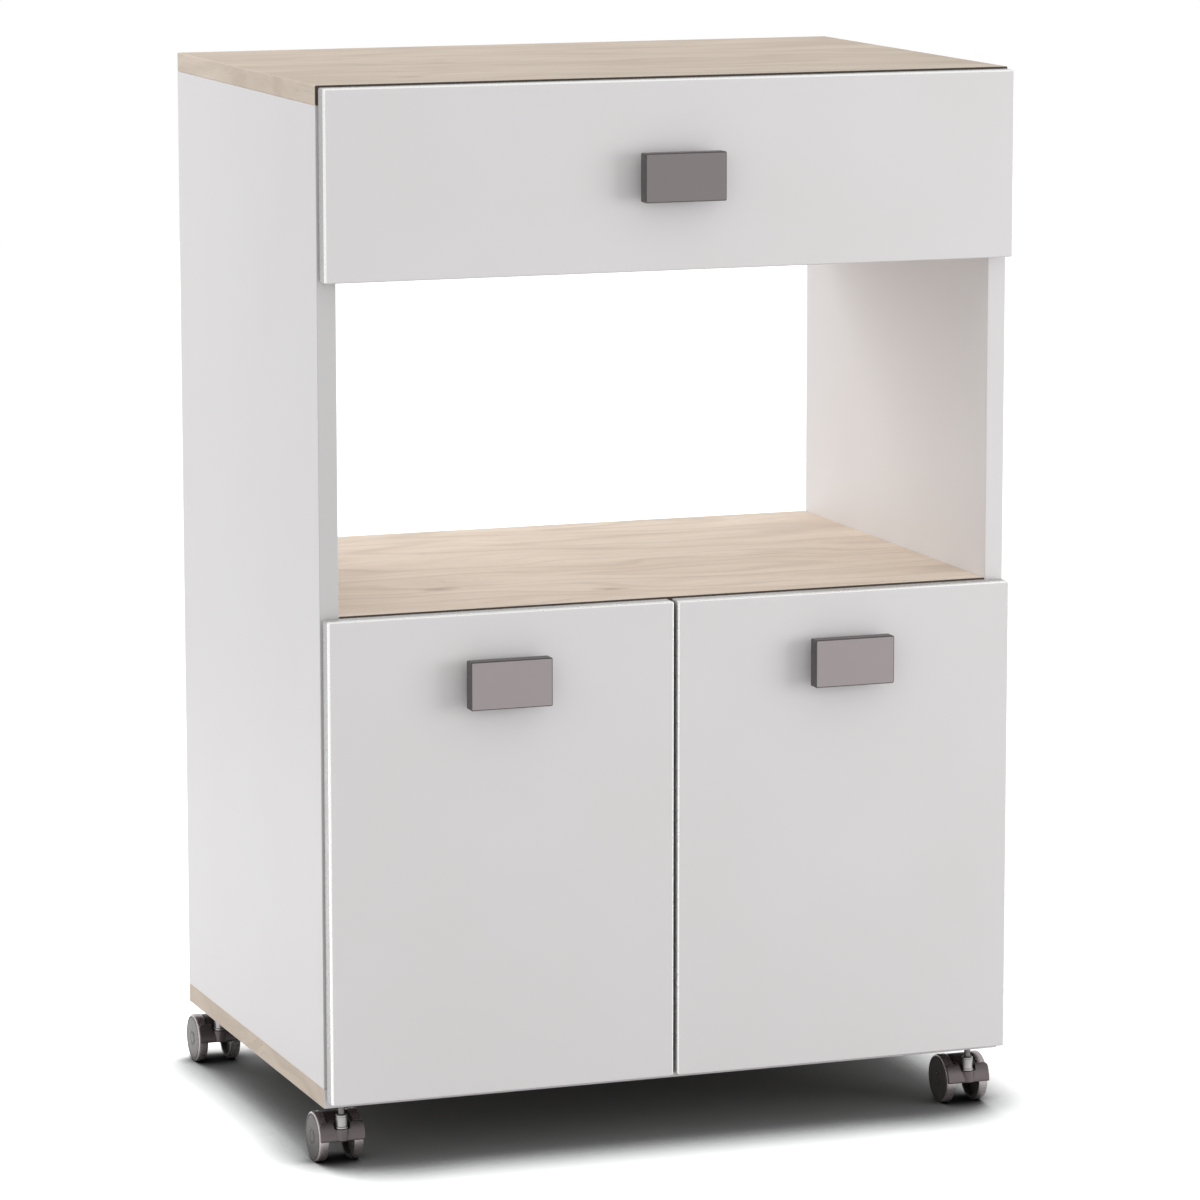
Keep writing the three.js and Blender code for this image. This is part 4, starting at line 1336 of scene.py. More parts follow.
    def channel(self) -> Shell:
        """U-shaped channel open to the panel, whose web climbs along a ramp.

        The section at depth y is a U of fixed wall whose web lies at
        x = start + (web - start) s^2 (3 - 2s), where s runs from 0 to 1 along the ramp.

        Returns:
            The channel and the nose that closes its front.
        """
        y = np.concatenate([
            np.linspace(self.body_start, self.body_start + self.ramp, 9),
            np.linspace(self.body_start + self.ramp, self.body_end, 4)[1:],
        ])
        share = np.clip((y - self.body_start) / self.ramp, 0, 1)
        start = self.stem_middle + self.sheet / 2
        height = start + (self.web - start) * share**2 * (3 - 2 * share)
        half, t = self.body_width / 2, self.wall
        loops = []
        for reach in height:
            foot, inside = self.body_open, half - t
            outer = [(foot, -half), (reach, -half), (reach, half), (foot, half)]
            inner = [(foot, inside), (reach - t, inside), (reach - t, -inside), (foot, -inside)]
            loops.append(np.vstack([
                eased(outer, self.outer_bend, 5, closed=False),
                eased(inner, self.inner_bend, 5, closed=False),
            ]))
        section = np.stack(loops)
        depth = np.repeat(y[:, None], section.shape[1], axis=1)
        grid = np.stack([section[:, :, 0], depth, section[:, :, 1]], axis=-1)
        walls = skin(grid, loop_v=True) + cap(grid[0]) + cap(grid[-1])
        front = box_outline(self.body_width, start - self.body_open, self.inner_bend)
        nose = slab(front, self.wall, 0.5 * self.inner_bend, steps=2).turned(Z, X, Y)
        return walls + nose.moved((start + self.body_open) / 2, self.body_start, 0)

    def plate(self) -> list[Shell]:
        """Wings on the panel and the spine under the channel.

        Returns:
            The wings and the spine.
        """
        outline = box_outline(self.plate_width, self.plate_height, self.plate_corner, 6)
        wings = slab(outline, self.plate_thickness, self.plate_edge)
        outline = box_outline(self.spine_length, self.spine_height, self.spine_corner)
        spine = slab(outline, self.web - self.wall / 2 - self.panel, self.soft_edge)
        spot = (self.panel, self.plate_middle, 0)
        return [wings.turned(Y, Z, X).moved(*spot), spine.turned(Y, Z, X).moved(*spot)]

    def arm_screws(self) -> Shell:
        """Heads on the plate's wings, and the two adjusting screws on the channel.

        Returns:
            All four heads.
        """
        head = screw_head(self.screw_radius, self.screw_height).turned(Y, Z, X)
        on_plate, spot = self.panel + self.plate_thickness, self.plate_screw
        heads = [head.moved(on_plate, self.plate_middle, z) for z in (spot, -spot)]
        heads += [head.moved(self.web, y, 0) for y in self.adjusters]
        return gathered(heads)


@dataclass
class Doors:
    """The two doors, with their handles, hinges and screws."""

    frame: dict
    finishes: Finishes
    edge: float = 1.2 * MM
    corner: float = 1.6 * MM
    bore_radius: float = 17.7 * MM
    bore_depth: float = 12.2 * MM
    hinge: CupHinge = field(default_factory=CupHinge)

    def build(self) -> None:
        """Makes both doors."""
        for side in Side:
            self.leaf(side)
            self.hinges(side)

    def leaf(self, side: Side) -> None:
        """Door leaf with the two bores for its hinge cups, its handle and its screws.

        Args:
            side: Which door.
        """
        node, body = f"door_{side.word}", f"{side.word}_door"
        bores = []
        for level in ("lower", "upper"):
            cup = middle(f"hinge_cup_{level}_{side.word}")
            bores.append(Bore((cup.x, cup.z), self.bore_radius, self.bore_depth, True, 72))
        low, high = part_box(node)
        shell = board_shell(low, high, thin=1, edge=self.edge, corner=self.corner, bores=bores)
        # The bottom edge takes the plain white strip, without the painted highlight and shade of the other
        # edges.
        tone_below(shell, 2, low.z + self.edge, 3)
        f = self.finishes
        films = (f.white, f.front_edge, f.core, f.white_edge)
        make_piece(f"{node}_leaf", shell, films, body, (node,))
        handle = BlockHandle(f, f"door_handle_{side.word}", body, f.handle_door)
        handle.build()
        screws = [handle.screws(high.y)]
        for level in ("lower", "upper"):
            screws.append(self.placed(self.hinge.cup_screws(), side, level))
        make_piece(f"{node}_screws", gathered(screws), (f.zinc,), body)

    def placed(self, shell: Shell, side: Side, level: str) -> Shell:
        """A hinge shell at its pin, mirrored on the right.

        Args:
            shell: Shell in the hinge's own axes.
            side: Which door.
            level: The lower or the upper hinge.

        Returns:
            The shell in place.
        """
        pin_line = joint_place(self.frame, f"{side.word}_door_hinge")
        height = middle(f"hinge_cup_{level}_{side.word}").z
        return shell.turned((-side.value, 0, 0), Y, Z).moved(pin_line.x, pin_line.y, height)

    def hinges(self, side: Side) -> None:
        """Cups on the door, arms on the side panel and the arms' screws.

        Args:
            side: Which door.
        """
        f = self.finishes
        screws = []
        for level in ("lower", "upper"):
            node = f"hinge_cup_{level}_{side.word}"
            shell = self.placed(self.hinge.cup(), side, level)
            make_piece(f"{node}_bowl", shell, (f.nickel,), f"{side.word}_door", (node,))
            node = f"hinge_arm_{level}_{side.word}"
            shell = self.placed(self.hinge.arm(), side, level)
            make_piece(f"{node}_neck", shell, (f.nickel,), "cabinet", (node,))
            screws.append(self.placed(self.hinge.arm_screws(), side, level))
        make_piece(f"hinge_arm_screws_{side.word}", gathered(screws), (f.zinc,), "cabinet")


# ------------------------------------------------------------------ drawer


@dataclass
class Drawer:
    """Drawer front, box and handle."""

    finishes: Finishes
    body: str = "drawer"
    edge: float = 1.2 * MM
    corner: float = 1.6 * MM
    box_edge: float = 0.6 * MM
    sheet_edge: float = 0.2 * MM

    def build(self) -> None:
        """Makes the drawer's pieces."""
        f = self.finishes
        low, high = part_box("drawer_front")
        shell = board_shell(low, high, thin=1, edge=self.edge, corner=self.corner)
        # The bottom edge takes the plain white strip, without the painted highlight and shade of the other
        # edges.
        tone_below(shell, 2, low.z + self.edge, 2)
        films = (f.white, f.front_edge, f.white_edge)
        make_piece("drawer_front_leaf", shell, films, self.body, ("drawer_front",))
        for node, thin in (("drawer_side_left", 0), ("drawer_side_right", 0), ("drawer_back", 1)):
            shell = board_shell(*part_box(node), thin=thin, edge=self.box_edge)
            films = (f.white, f.white_edge)
            make_piece(f"{node}_board", shell, films, self.body, (node,))
        shell = board_shell(*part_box("drawer_bottom"), thin=2, edge=self.sheet_edge, tones=(1, 1, 0, 1))
        make_piece("drawer_bottom_sheet", shell, (f.white_hardboard, f.raw), self.body,
                   ("drawer_bottom",))
        handle = BlockHandle(f, "drawer_handle", self.body, f.handle_drawer)
        handle.build()
        make_piece("drawer_handle_screws", handle.screws(high.y), (f.zinc,), self.body)


@dataclass
class RollerRunner:
    """Runner pair of one side: x from the side panel inwards, y backwards, z up from its foot."""

    frame: dict
    finishes: Finishes
    side: Side
    sheet: float = 1.2 * MM
    channel_width: float = 10 * MM
    channel_height: float = 26 * MM
    lip: float = 3 * MM
    clearance: float = 12.5 * MM
    sole: float = 10 * MM
    sole_top: float = -2 * MM
    flange_under: float = 19 * MM
    flange_reach: float = 10 * MM
    roller_start: float = 1.8 * MM
    roller_width: float = 6.5 * MM
    roller_radius: float = 8.5 * MM
    pin_radius: float = 2.5 * MM
    pin_chamfer: float = 0.2 * MM
    play: float = 0.3 * MM
    head_radius: float = 4 * MM
    head_height: float = 1 * MM
    bend: float = 1.3 * MM
    bar_edge: float = 0.15 * MM
    screw_places: tuple[float, ...] = (40 * MM, 170 * MM, 310 * MM)
    screw_radius: float = 3.4 * MM
    screw_height: float = 0.4 * MM
    roller_bore: float = 2.7 * MM
    roller_ease: float = 0.7 * MM
    groove: tuple[float, float] = (4.2 * MM, 6.8 * MM)
    groove_slope: float = 0.2 * MM
    groove_depth: float = 0.5 * MM

    def build(self) -> None:
        """Makes both members and both rollers."""
        word = self.side.word
        t = self.sheet / 2
        w, h, lip = self.channel_width - t, self.channel_height - t, self.lip
        member = [(w, lip), (w, t), (t, t), (t, h), (w, h), (w, self.channel_height - lip)]
        screws = [(self.sheet, y, self.channel_height / 2) for y in self.screw_places]
        self.member(f"cabinet_runner_{word}", "cabinet", member, screws)
        w, top = self.clearance - t, self.flange_under + t
        member = [(self.clearance + self.sole, self.sole_top - t), (w, self.sole_top - t)]
        member += [(w, top), (self.clearance - self.flange_reach, top)]
        self.member(f"drawer_runner_{word}", "drawer", member, [])
        for kind in ("cabinet", "drawer"):
            body = f"{word}_{kind}_roller"
            self.roller(kind, body, joint_place(self.frame, f"{body}_spin"))

    def member(self, node: str, body: str, line: list[tuple[float, float]],
               screws: list[tuple[float, float, float]]) -> None:
        """One bent steel member with its roller pin and flush screws.

        Args:
            node: Frame node that it stands for.
            body: Body that carries it.
            line: Corners of the middle line of its section, in x and z.
            screws: Places of the screw heads.
        """
        low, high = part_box(node)
        section = strip(eased(line, self.bend, 5, closed=False), self.sheet)
        bar = slab(section, high.y - low.y, self.bar_edge, steps=1).turned(X, Z, Y)
        inner = self.side.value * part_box("side_panel_right")[0].x
        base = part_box(f"cabinet_runner_{self.side.word}")[0].z
        spin = joint_place(self.frame, f"{self.side.word}_{body}_roller_spin")
        far = self.roller_start + self.roller_width + self.play
        start, end = 0.0, far
        if body == "drawer":
            start, end = self.roller_start + self.play, self.clearance - self.sheet
        shank = pin(self.pin_radius, end - start, self.pin_chamfer)
        shank = shank.turned(Y, Z, X).moved((end + start) / 2, spin.y - low.y, spin.z - base)
        r, h = self.head_radius, self.head_height
        head = lathe([(0, 0), (r, 0), (r, 0.6 * h), (0.75 * r, h), (0, h)], 32)
        head = head.turned(Y, Z, X).moved(far, spin.y - low.y, spin.z - base)
        flat = screw_head(self.screw_radius, self.screw_height).turned(Y, Z, X)
        parts = [bar, shank, head, *(flat.moved(*place) for place in screws)]
        shell = gathered(parts).turned((-self.side.value, 0, 0), Y, Z).moved(inner, low.y, base)
        make_piece(f"{node}_member", shell, (self.finishes.enamel,), body, (node,))

    def roller(self, kind: str, body: str, axis: Vector) -> None:
        """Nylon roller with rounded rims and a ring groove in each face, round its pin.

        Args:
            kind: Which member carries it.
            body: Body that it turns with.
            axis: Its centre.
        """
        r, half, ease = self.roller_radius, self.roller_width / 2, self.roller_ease
        (near, far), slope, bed = self.groove, self.groove_slope, self.groove_depth - half
        profile = [(self.roller_bore, -half), (near, -half), (near + slope, bed), (far - slope, bed)]
        profile += [(far, -half), (r - ease, -half), (r - 0.2 * ease, 0.3 * ease - half), (r, ease - half)]
        ring = profile + [(a, -b) for a, b in reversed(profile)]
        shell = lathe(ring, 64, ring=True).turned(Y, Z, X).moved(*axis)
        node = f"{kind}_roller_{self.side.word}"
        make_piece(f"{node}_wheel", shell, (self.finishes.nylon,), body, (node,))


# ------------------------------------------------------------------ casters


@dataclass
class TwinWheelCaster:
    """Swivel caster: x across, y trailing, z up from the floor at its swivel axis.

    The lines of the wheel's outer side run from the tread to its middle. The shoulder's and
    the groove's points are given by how far they lie below the tread and below the outer face,
    the cap's by their radius and how far they lie below the outer face.
    """

    frame: dict
    finishes: Finishes
    corner: str
    spacing: float = 21 * MM
    width: float = 9 * MM
    hub: float = 6 * MM
    rim: float = 17 * MM
    play: float = 0.2 * MM
    recess: float = 5 * MM
    recess_slope: float = 0.9 * MM
    recess_soft: float = 0.4 * MM
    inner_ease: float = 1.5 * MM
    inner_soft: float = 0.45 * MM
    shoulder_line: Line = ((0, 1.9 * MM), (0.4 * MM, 0.9 * MM), (1.4 * MM, 0.45 * MM))
    groove_line: Line = (
        (1.4 * MM, 0.45 * MM), (2.4 * MM, 0.4 * MM), (2.7 * MM, 0.8 * MM),
        (3.1 * MM, 0.8 * MM), (3.4 * MM, 0.45 * MM),
    )
    cap_line: Line = (
        (9 * MM, 0.25 * MM), (6.2 * MM, 0.25 * MM), (5.8 * MM, 0.6 * MM),
        (5.4 * MM, 0.6 * MM), (5 * MM, 0.15 * MM), (4.4 * MM, 0), (0, 0),
    )
    axle_radius: float = 2.5 * MM
    axle_chamfer: float = 0.4 * MM
    axle_seat: float = 6.5 * MM
    stem_radius: float = 3 * MM
    stem_gap: float = 0.3 * MM
    stem_reach: float = 12 * MM
    stem_ease: float = 0.5 * MM
    socket_play: float = 0.15 * MM
    socket_radius: float = 6.5 * MM
    socket_lip: float = 0.9 * MM
    socket_ease: tuple[float, float] = (0.5 * MM, 0.4 * MM)
    collar_radius: float = 5.5 * MM
    collar_waist: float = 4.8 * MM
    collar_foot: float = 1.6 * MM
    neck: float = 10 * MM
    neck_radius: float = 2.6 * MM
    hood_top: float = 31 * MM
    hood_under: float = 21 * MM
    seat_margin: float = 1 * MM
    side_gap: float = 0.5 * MM
    web: float = 20.2 * MM
    heel: float = 0.25
    boss: float = 5.5 * MM
    boss_sweep: float = 3.15
    web_start: float = 9.7 * MM
    web_ease: float = 0.8 * MM
    web_edge: float = 0.5 * MM
    flank_sunk: float = 0.5 * MM
    flank_back: float = 0.05
    flank_edge: float = 0.3 * MM
    fender_inner: float = 21.6 * MM
    fender_thickness: float = 2.6 * MM
    fender_inset: float = 0.5 * MM
    fender_top: float = 2.42
    fender_corner: float = 3.5 * MM
    fender_round: float = 0.96
    notch: float = 7 * MM
    notch_step: float = 0.5 * MM
    edge: float = 0.6 * MM
    lap: float = 0.06 * MM
    swivel: Vector = field(init=False)
    trail: float = field(init=False)
    axle_height: float = field(init=False)

    def __post_init__(self) -> None:
        """Takes the swivel's place, and the axle's behind it and above the floor, from the frame."""
        self.swivel = joint_place(self.frame, f"{self.corner}_swivel")
        axle = joint_place(self.frame, f"{self.corner}_left_wheel_spin")
        self.trail, self.axle_height = axle.y - self.swivel.y, axle.z

    def build(self) -> None:
        """Makes the stem, hood, axle and both wheels."""
        f, name, body = self.finishes, f"caster_{self.corner}", f"{self.corner}_caster"
        x, y, z = self.swivel.x, self.swivel.y + self.trail, self.axle_height
        floor = (self.swivel.x, self.swivel.y, 0.0)
        films = (f.stem_zinc, f.neck_steel)
        make_piece(f"{name}_stem_bolt", self.stem().moved(*floor), films, "cabinet",
                   (f"{name}_stem",))
        make_piece(f"{name}_socket", self.socket().moved(*floor), (f.dark_plastic,), "cabinet")
        films = (f.caster_body, f.caster_core)
        make_piece(f"{name}_hood_shell", self.hood().moved(*floor), films, body,
                   (f"{name}_hood",))
        axle = pin(self.axle_radius, self.spacing + 2 * self.axle_seat, self.axle_chamfer)
        make_piece(f"{name}_axle_pin", axle.turned(Y, Z, X).moved(x, y, z), (f.zinc,),
                   body, (f"{name}_axle",))
        for side in Side:
            shell = self.wheel().turned(Y, Z, (side.value, 0, 0))
            shell = shell.moved(x + side.value * self.spacing / 2, y, z)
            make_piece(f"{name}_wheel_{side.word}_disc", shell, (f.wheel, f.tread),
                       f"{body}_{side.word}_wheel", (f"{name}_wheel_{side.word}",))

    def stem(self) -> Shell:
        """Pin in the hood, ringed collar, bare neck and stem in the board.

        Returns:
            Two lathed shells that meet at the collar's top.
        """
        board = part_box("bottom_panel")[0].z
        low, top = self.hood_under - 3 * self.lap, board + self.stem_reach
        foot_low, high = self.hood_top + self.stem_gap, board - self.neck
        foot_high = foot_low + self.collar_foot
        r, foot, waist, slim = self.stem_radius, self.collar_radius, self.collar_waist, self.neck_radius
        ease = self.stem_ease
        soft, ring = 0.4 * ease, waist - 0.5 * ease
        profile = [(0, low), (r - ease, low), (r, low + ease), (r, foot_low)]
        profile += [(foot - soft, foot_low), (foot, foot_low + soft)]
        profile += [(foot, foot_high - soft), (foot - soft, foot_high), (waist, foot_high + soft)]
        profile += [(waist, high - 4 * ease), (ring, high - 3.6 * ease), (ring, high - 2.8 * ease)]
        profile += [(waist, high - 2.4 * ease), (waist, high - ease), (waist - ease, high), (slim, high)]
        bolt = [(slim, high), (slim, board - 2 * ease), (r, board - ease)]
        bolt += [(r, top - ease), (r - ease, top), (0, top)]
        # The neck and the stem in the board take the darker plate, painted shade under the board.
        return lathe(profile, 48) + lathe(bolt, 48, tone=1)

    def socket(self) -> Shell:
        """Flanged mouth of the socket that grips the stem, on the board's underside.

        Returns:
            The lathed ring.
        """
        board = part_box("bottom_panel")[0].z
        face, inner = board - self.socket_lip, self.stem_radius + self.socket_play
        outer, (ease, drop) = self.socket_radius, self.socket_ease
        profile = [(inner, board), (inner, face), (outer - ease, face)]
        return lathe(profile + [(outer, face + drop), (outer, board)], 40, ring=True)

    def about_axle(self, radius: float | Array, angle: float | Array) -> Array:
        """Points at a distance from the axle: (y, z) = axle + radius (cos a, sin a).

        Args:
            radius: Distance from the axle.
            angle: Angle a, from straight behind the axle and upwards.

        Returns:
            Points in y and z, in the shape of the longer of both.
        """
        y, z = self.trail + radius * np.cos(angle), self.axle_height + radius * np.sin(angle)
        return np.stack(np.broadcast_arrays(y, z), axis=-1)

    def hood(self) -> Shell:
        """Web between the wheels, boss and flanks round the stem, and the fender.

        Returns:
            The parts, which overlap one another.
        """
        flank = self.flank()
        flanks = [flank.moved(self.notch, 0, 0), flank.moved(-self.notch - self.flank_width(), 0, 0)]
        return gathered([self.web_plate(), self.stem_boss(), *flanks, self.fender()])

    def web_plate(self) -> Shell:
        """Plate that fills the wheels' upper halves, with a seat for the collar and an axle boss.

        Its outline is an eased front, an arc of the web's radius over the wheels down to the
        heel, and an arc of the boss's radius round the axle.

        Returns:
            The plate.
        """
        seat = self.collar_radius + self.seat_margin
        crown = np.linspace(math.acos((seat - self.trail) / self.web), self.heel, 25)
        boss = np.linspace(self.heel, self.heel - self.boss_sweep, 17)
        middle_radius = self.fender_inner + self.fender_thickness / 2
        rise = math.asin((self.hood_top - self.axle_height) / middle_radius)
        top_nose = self.about_axle(middle_radius, math.pi - rise)
        front = eased([
            (self.trail - self.web_start, self.hood_under),
            (self.trail - middle_radius, self.hood_under),
            tuple(top_nose),
            (seat, self.hood_top),
            tuple(self.about_axle(self.web, crown[0])),
        ], self.web_ease, 5, closed=False)
        outline = np.vstack([front, self.about_axle(self.web, crown[1:]), self.about_axle(self.boss, boss)])
        width = self.spacing - 2 * self.side_gap
        # The plate takes the near-black coat, which paints the shade between the wheels under the board.
        plate = slab(outline[::-1], width, self.web_edge, tones=(1, 1, 1, 1), steps=2)
        return plate.turned(Y, Z, X).moved(-width / 2, 0, 0)

    def stem_boss(self) -> Shell:
        """Round wall of the stem's bore.

        Returns:
            The lathed wall.
        """
        r, low, high = self.collar_radius + self.seat_margin, self.hood_under, self.hood_top + self.lap
        ease = self.edge
        profile = [(0, low - self.lap), (r - ease, low - self.lap), (r, low + ease), (r, high - ease)]
        profile += [(r - 0.3 * ease, high - 0.3 * ease), (r - ease, high), (0, high)]
        return lathe(profile, 48)

    def flank_width(self) -> float:
        """Width of the wall beside the notch."""
        return self.spacing / 2 - self.side_gap - self.notch - self.lap

    def flank(self) -> Shell:
        """Wall beside the collar's notch, from the web's shoulder to the fender.

        Its outline is an arc just inside the web's and an arc within the fender.

        Returns:
            The wall, from x = 0.
        """
        low = self.hood_top - self.flank_sunk
        behind = self.collar_radius + self.seat_margin + 2 * self.flank_sunk
        r, reach = self.web - self.lap, self.fender_inner + self.fender_thickness / 2
        top = self.fender_top + self.flank_back
        over = np.linspace(math.acos((behind - self.trail) / r), top, 9)
        down = np.linspace(top, math.pi - math.asin((low - self.axle_height) / reach), 5)
        outline = np.vstack([[(behind, low)], self.about_axle(r, over), self.about_axle(reach, down)])
        return slab(outline, self.flank_width(), self.flank_edge, steps=2).turned(Y, Z, X)

    def fender(self) -> Shell:
        """Bent band round the front of both treads, with a notch for the collar.

        At each x its section is a rounded rectangle, s along the band and t across it, wrapped
        round the axle: angle pi - s / R and radius R + t. Its upper end stands at full height,
        drops by a smooth step to the seat within the notch, and follows a quarter circle,
        c (1 - sqrt(1 - q^2)) for q from 0 to 1 over the last c, at the outer corners. Over the
        last e of the width the section is drawn in by e (1 - cos a), for x at W - e (1 - sin a).

        Returns:
            The closed band.
        """
        inner, thick, e, c = self.fender_inner, self.fender_thickness, self.edge, self.fender_corner
        half = self.spacing / 2 + self.width - self.fender_inset
        turn = np.linspace(0, math.pi / 2, 5)
        step = self.notch_step
        plain = np.concatenate([
            np.linspace(0, self.notch - step, 4),
            np.linspace(self.notch - step, self.notch + step, 7)[1:],
            np.linspace(self.notch + step, half - c, 4)[1:],
            half - c + (c - e) * np.sin(np.linspace(0, math.pi / 2, 9))[1:],
        ])
        x = np.concatenate([plain, half - e * (1 - np.sin(turn))[1:]])
        sunk = np.concatenate([np.zeros(len(plain)), e * (1 - np.cos(turn))[1:]])
        x, sunk = np.concatenate([-x[:0:-1], x]), np.concatenate([sunk[:0:-1], sunk])
        full = (math.pi - self.fender_top) * inner
        seat = math.asin((self.hood_top - self.axle_height) / (inner + thick / 2)) * inner
        share = np.clip((abs(x) - self.notch + step) / (2 * step), 0, 1)
        q = np.clip((abs(x) - half + c) / c, 0, 1)
        corner = c * (1 - np.sqrt(1 - self.fender_round * q**2))
        top = seat + (full - seat) * share**2 * (3 - 2 * share) - corner
        steps, along = 4, 12
        index = np.arange(4 * (steps + 1))
        cuts = np.arange(1, along) / along
        stations = np.concatenate([
            index[:steps + 1], steps + cuts, index[steps + 1:3 * (steps + 1)],
            3 * steps + 2 + cuts, index[3 * (steps + 1):],
        ])
        loops = []
        for high, draw in zip(top, sunk):
            end, outer = high - draw, thick - draw
            rectangle = [(draw, draw), (end, draw), (end, outer), (draw, outer)]
            ring = eased(rectangle, 0.45 * (thick - 2 * draw), steps)
            s, t = (np.interp(stations, index, ring[:, axis]) for axis in (0, 1))
            loops.append(self.about_axle(inner + t, math.pi - s / inner))
        section = np.stack(loops)
        across = np.repeat(x[:, None], section.shape[1], axis=1)
        grid = np.dstack([across, section])
        return skin(grid, loop_v=True) + cap(grid[0]) + cap(grid[-1])

    def wheel(self) -> Shell:
        """One wheel from its inner face at z = 0: recessed inside, tread, and a dished disc.

        The disc has a raised hub cap and a shallow ring groove near its rim. The tread stands
        on the floor, so its radius is the height of the axle.

        Returns:
            Three lathed shells that meet in circles.
        """
        r, w, hub, rim = self.axle_height, self.width, self.hub, self.rim
        hole, depth = self.axle_radius + self.play, self.axle_seat + self.play
        bed, slope, soft = self.recess, self.recess_slope, self.recess_soft
        corner = (r - self.inner_soft, self.inner_soft)
        inside = [(0, depth), (hole, depth), (hole, 0), (hub, 0), (hub + soft, bed - soft)]
        inside += [(hub + slope, bed), (rim - slope, bed), (rim - soft, bed - soft)]
        inside += [(rim, 0), (r - self.inner_ease, 0), corner]
        tread = [corner, (r, self.inner_ease), *((r - a, w - b) for a, b in self.shoulder_line)]
        disc = [(r - a, w - b) for a, b in self.groove_line]
        disc += [(radius, w - b) for radius, b in self.cap_line]
        return gathered([lathe(inside, 96), lathe(tread, 96, tone=1), lathe(disc, 96)])


# ------------------------------------------------------------------ stage


@dataclass(frozen=True)
class SoftLamp:
    """Square soft lamp: its place, what it is turned towards, its size, power and reflection."""

    name: str
    place: tuple[float, float, float]
    aim: tuple[float, float, float]
    size: float
    power: float
    mirrored: bool = True

    def build(self) -> None:
        """Adds the lamp."""
        light = bpy.data.lights.new(self.name, "AREA")
        light.size, light.energy = self.size, self.power
        lamp = bpy.data.objects.new(self.name, light)
        lamp.visible_camera, lamp.visible_glossy = False, self.mirrored
        lamp.location = self.place
        line = Vector(self.aim) - Vector(self.place)
        lamp.rotation_euler = line.to_track_quat("-Z", "Y").to_euler()
        bpy.context.scene.collection.objects.link(lamp)


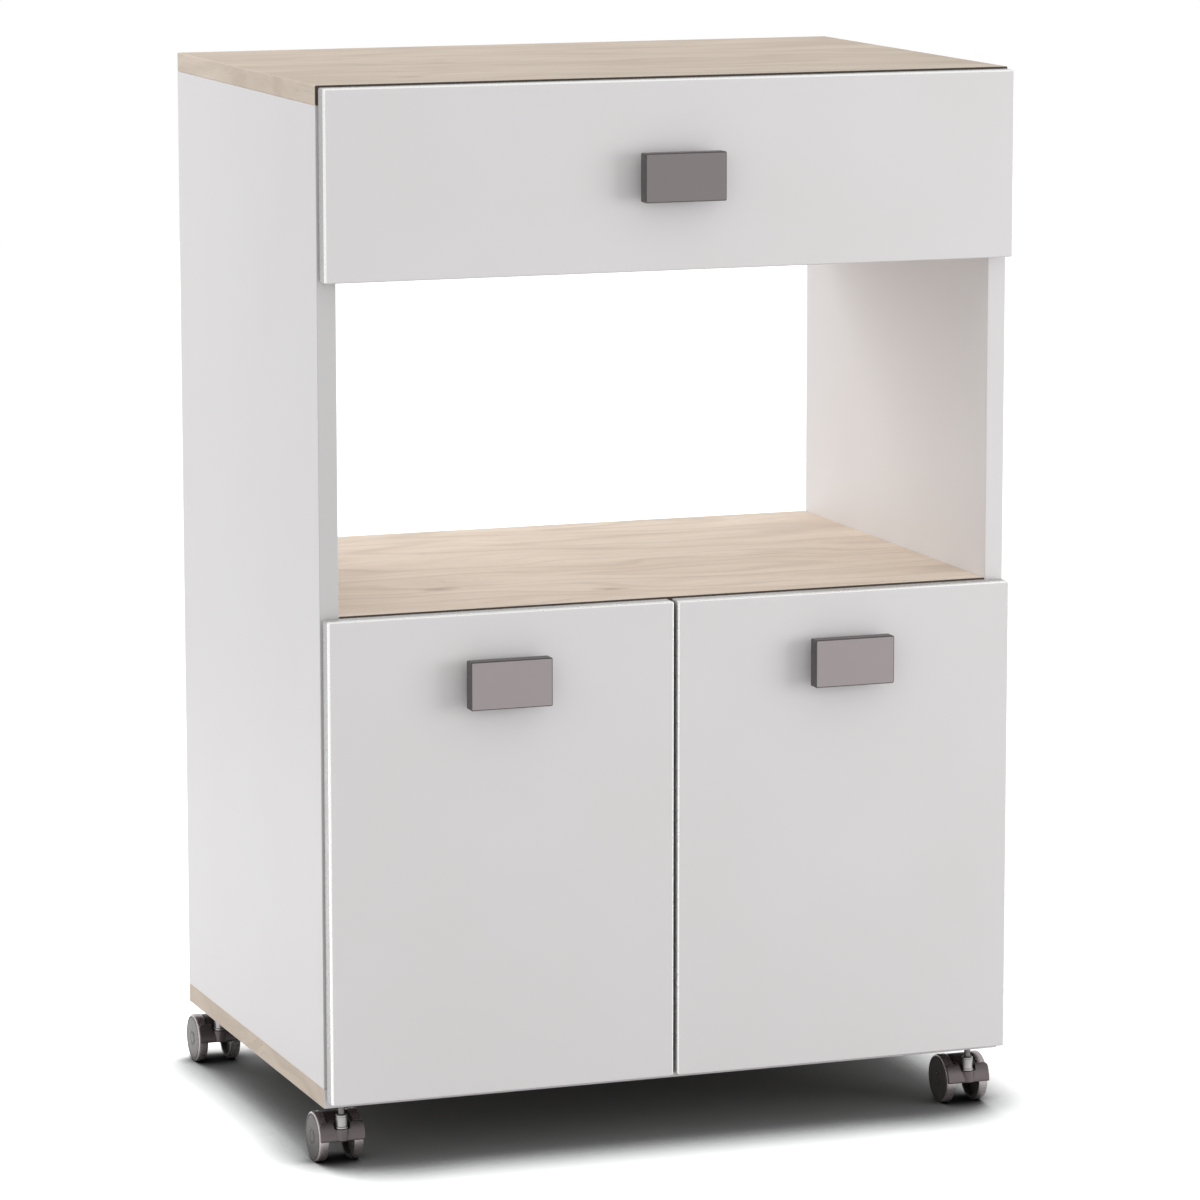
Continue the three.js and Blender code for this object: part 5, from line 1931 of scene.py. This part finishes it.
@dataclass
class Stage:
    """Floor, surroundings, lamps and the camera at the photograph's viewpoint."""

    floor_size: float = 14.0
    floor_shown: Colour = (1.74, 1.77, 1.77)
    floor_lit: Colour = (0.44, 0.44, 0.44)
    shade_reach: float = 100 * MM
    shade_span: tuple[float, float] = (0.43, 0.98)
    shade_depth: float = 0.152
    foot_reach: float = 40 * MM
    foot_span: tuple[float, float] = (0.15, 0.80)
    foot_depth: float = 0.04
    shade_samples: int = 16
    surround: float = 0.80
    camera_place: tuple[float, float, float] = (-1.6174, -4.4637, 1.2248)
    camera_turn: tuple[float, float, float] = (80.470, 0.038, -20.019)
    lens: float = 169.0
    sensor: float = 36.0
    lamps: tuple[SoftLamp, ...] = (
        SoftLamp("front_right", (2.6, -2.3, 0.55), (0.0, 0.0, 0.45), 1.9, 37.5),
        SoftLamp("front_left", (-2.2, -3.4, 1.3), (0.0, 0.0, 0.45), 2.0, 6.0),
        SoftLamp("left", (-3.2, -0.7, 1.9), (0.0, 0.0, 0.60), 2.0, 3.5),
        SoftLamp("behind", (-0.6, 1.45, 1.35), (0.05, 0.0, 0.55), 1.0, 15.5, mirrored=False),
    )

    def build(self) -> None:
        """Makes the stage."""
        bpy.context.scene.view_settings.view_transform = "Standard"
        self.floor()
        self.world()
        for lamp in self.lamps:
            lamp.build()
        self.camera()

    def floor(self) -> None:
        """Pale floor that the camera sees as white, apart from the cart's shadow.

        Its seen colour darkens where the cart closes off the sky within the shade's reach, and
        again close round the wheels' feet.
        """
        half = self.floor_size / 2
        corners = [(-half, -half, 0), (half, -half, 0), (half, half, 0), (-half, half, 0)]
        mesh = bpy.data.meshes.new("floor")
        mesh.from_pydata(corners, [], [(0, 1, 2, 3)])
        floor = bpy.data.objects.new("floor", mesh)
        bpy.context.scene.collection.objects.link(floor)
        material = bpy.data.materials.new("floor_paint")
        material.use_nodes = True
        sheet = NodeSheet(material.node_tree)
        sky, gap = (
            sheet.add("AmbientOcclusion", {"Distance": reach}, output="AO", samples=self.shade_samples)
            for reach in (self.shade_reach, self.foot_reach)
        )
        under = sheet.span(sky, *self.shade_span, self.shade_depth, 1.0, "SMOOTHSTEP")
        feet = sheet.span(gap, *self.foot_span, self.foot_depth, 1.0, "SMOOTHSTEP")
        shade = sheet.maths("MULTIPLY", under, feet)
        colour = sheet.add("VectorMath", {0: self.floor_shown, "Scale": shade}, operation="SCALE")
        shown = sheet.add("BsdfDiffuse", {"Color": colour})
        lit = sheet.add("BsdfDiffuse", {"Color": self.floor_lit})
        sheet.finish("OutputMaterial", sheet.add("MixShader", {0: self.seen(sheet), 1: lit, 2: shown}))
        mesh.materials.append(material)

    @staticmethod
    def seen(sheet: NodeSheet) -> Socket:
        """Tells what is seen, straight or in a reflection, from what only lights other things.

        Args:
            sheet: Nodes that it is added to.

        Returns:
            1 where the ray comes from the camera, a mirror surface or glass.
        """
        kinds = ("Is Camera Ray", "Is Glossy Ray", "Is Transmission Ray")
        camera, glossy, glass = (sheet.add("LightPath", {}, output=kind) for kind in kinds)
        return sheet.maths("MAXIMUM", sheet.maths("MAXIMUM", camera, glossy), glass)

    def world(self) -> None:
        """Even white surroundings, shown at full white and lighting a little below it."""
        world = bpy.data.worlds.new("studio")
        bpy.context.scene.world = world
        world.use_nodes = True
        sheet = NodeSheet(world.node_tree)
        shown = sheet.add("Background", {"Color": (1.0, 1.0, 1.0), "Strength": 1.0})
        lit = sheet.add("Background", {"Color": (1.0, 1.0, 1.0), "Strength": self.surround})
        sheet.finish("OutputWorld", sheet.add("MixShader", {0: self.seen(sheet), 1: lit, 2: shown}))

    def camera(self) -> None:
        """Camera at the photograph's viewing angle."""
        data = bpy.data.cameras.new("photo_view")
        data.lens, data.sensor_width, data.sensor_fit = self.lens, self.sensor, "HORIZONTAL"
        camera = bpy.data.objects.new("photo_view", data)
        camera.location = self.camera_place
        camera.rotation_euler = [math.radians(turn) for turn in self.camera_turn]
        bpy.context.scene.collection.objects.link(camera)
        bpy.context.scene.camera = camera


# ------------------------------------------------------------------ the whole cart


def main() -> None:
    """Builds the cart's looks round its frame."""
    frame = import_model()
    Stage().build()
    finishes = Finishes()
    Carcass(frame, finishes).build()
    InnerShelf(finishes).build()
    Doors(frame, finishes).build()
    Drawer(finishes).build()
    for side in Side:
        RollerRunner(frame, finishes, side).build()
    for corner in CORNERS:
        TwinWheelCaster(frame, finishes, corner).build()


if __name__ == "__main__":
    main()
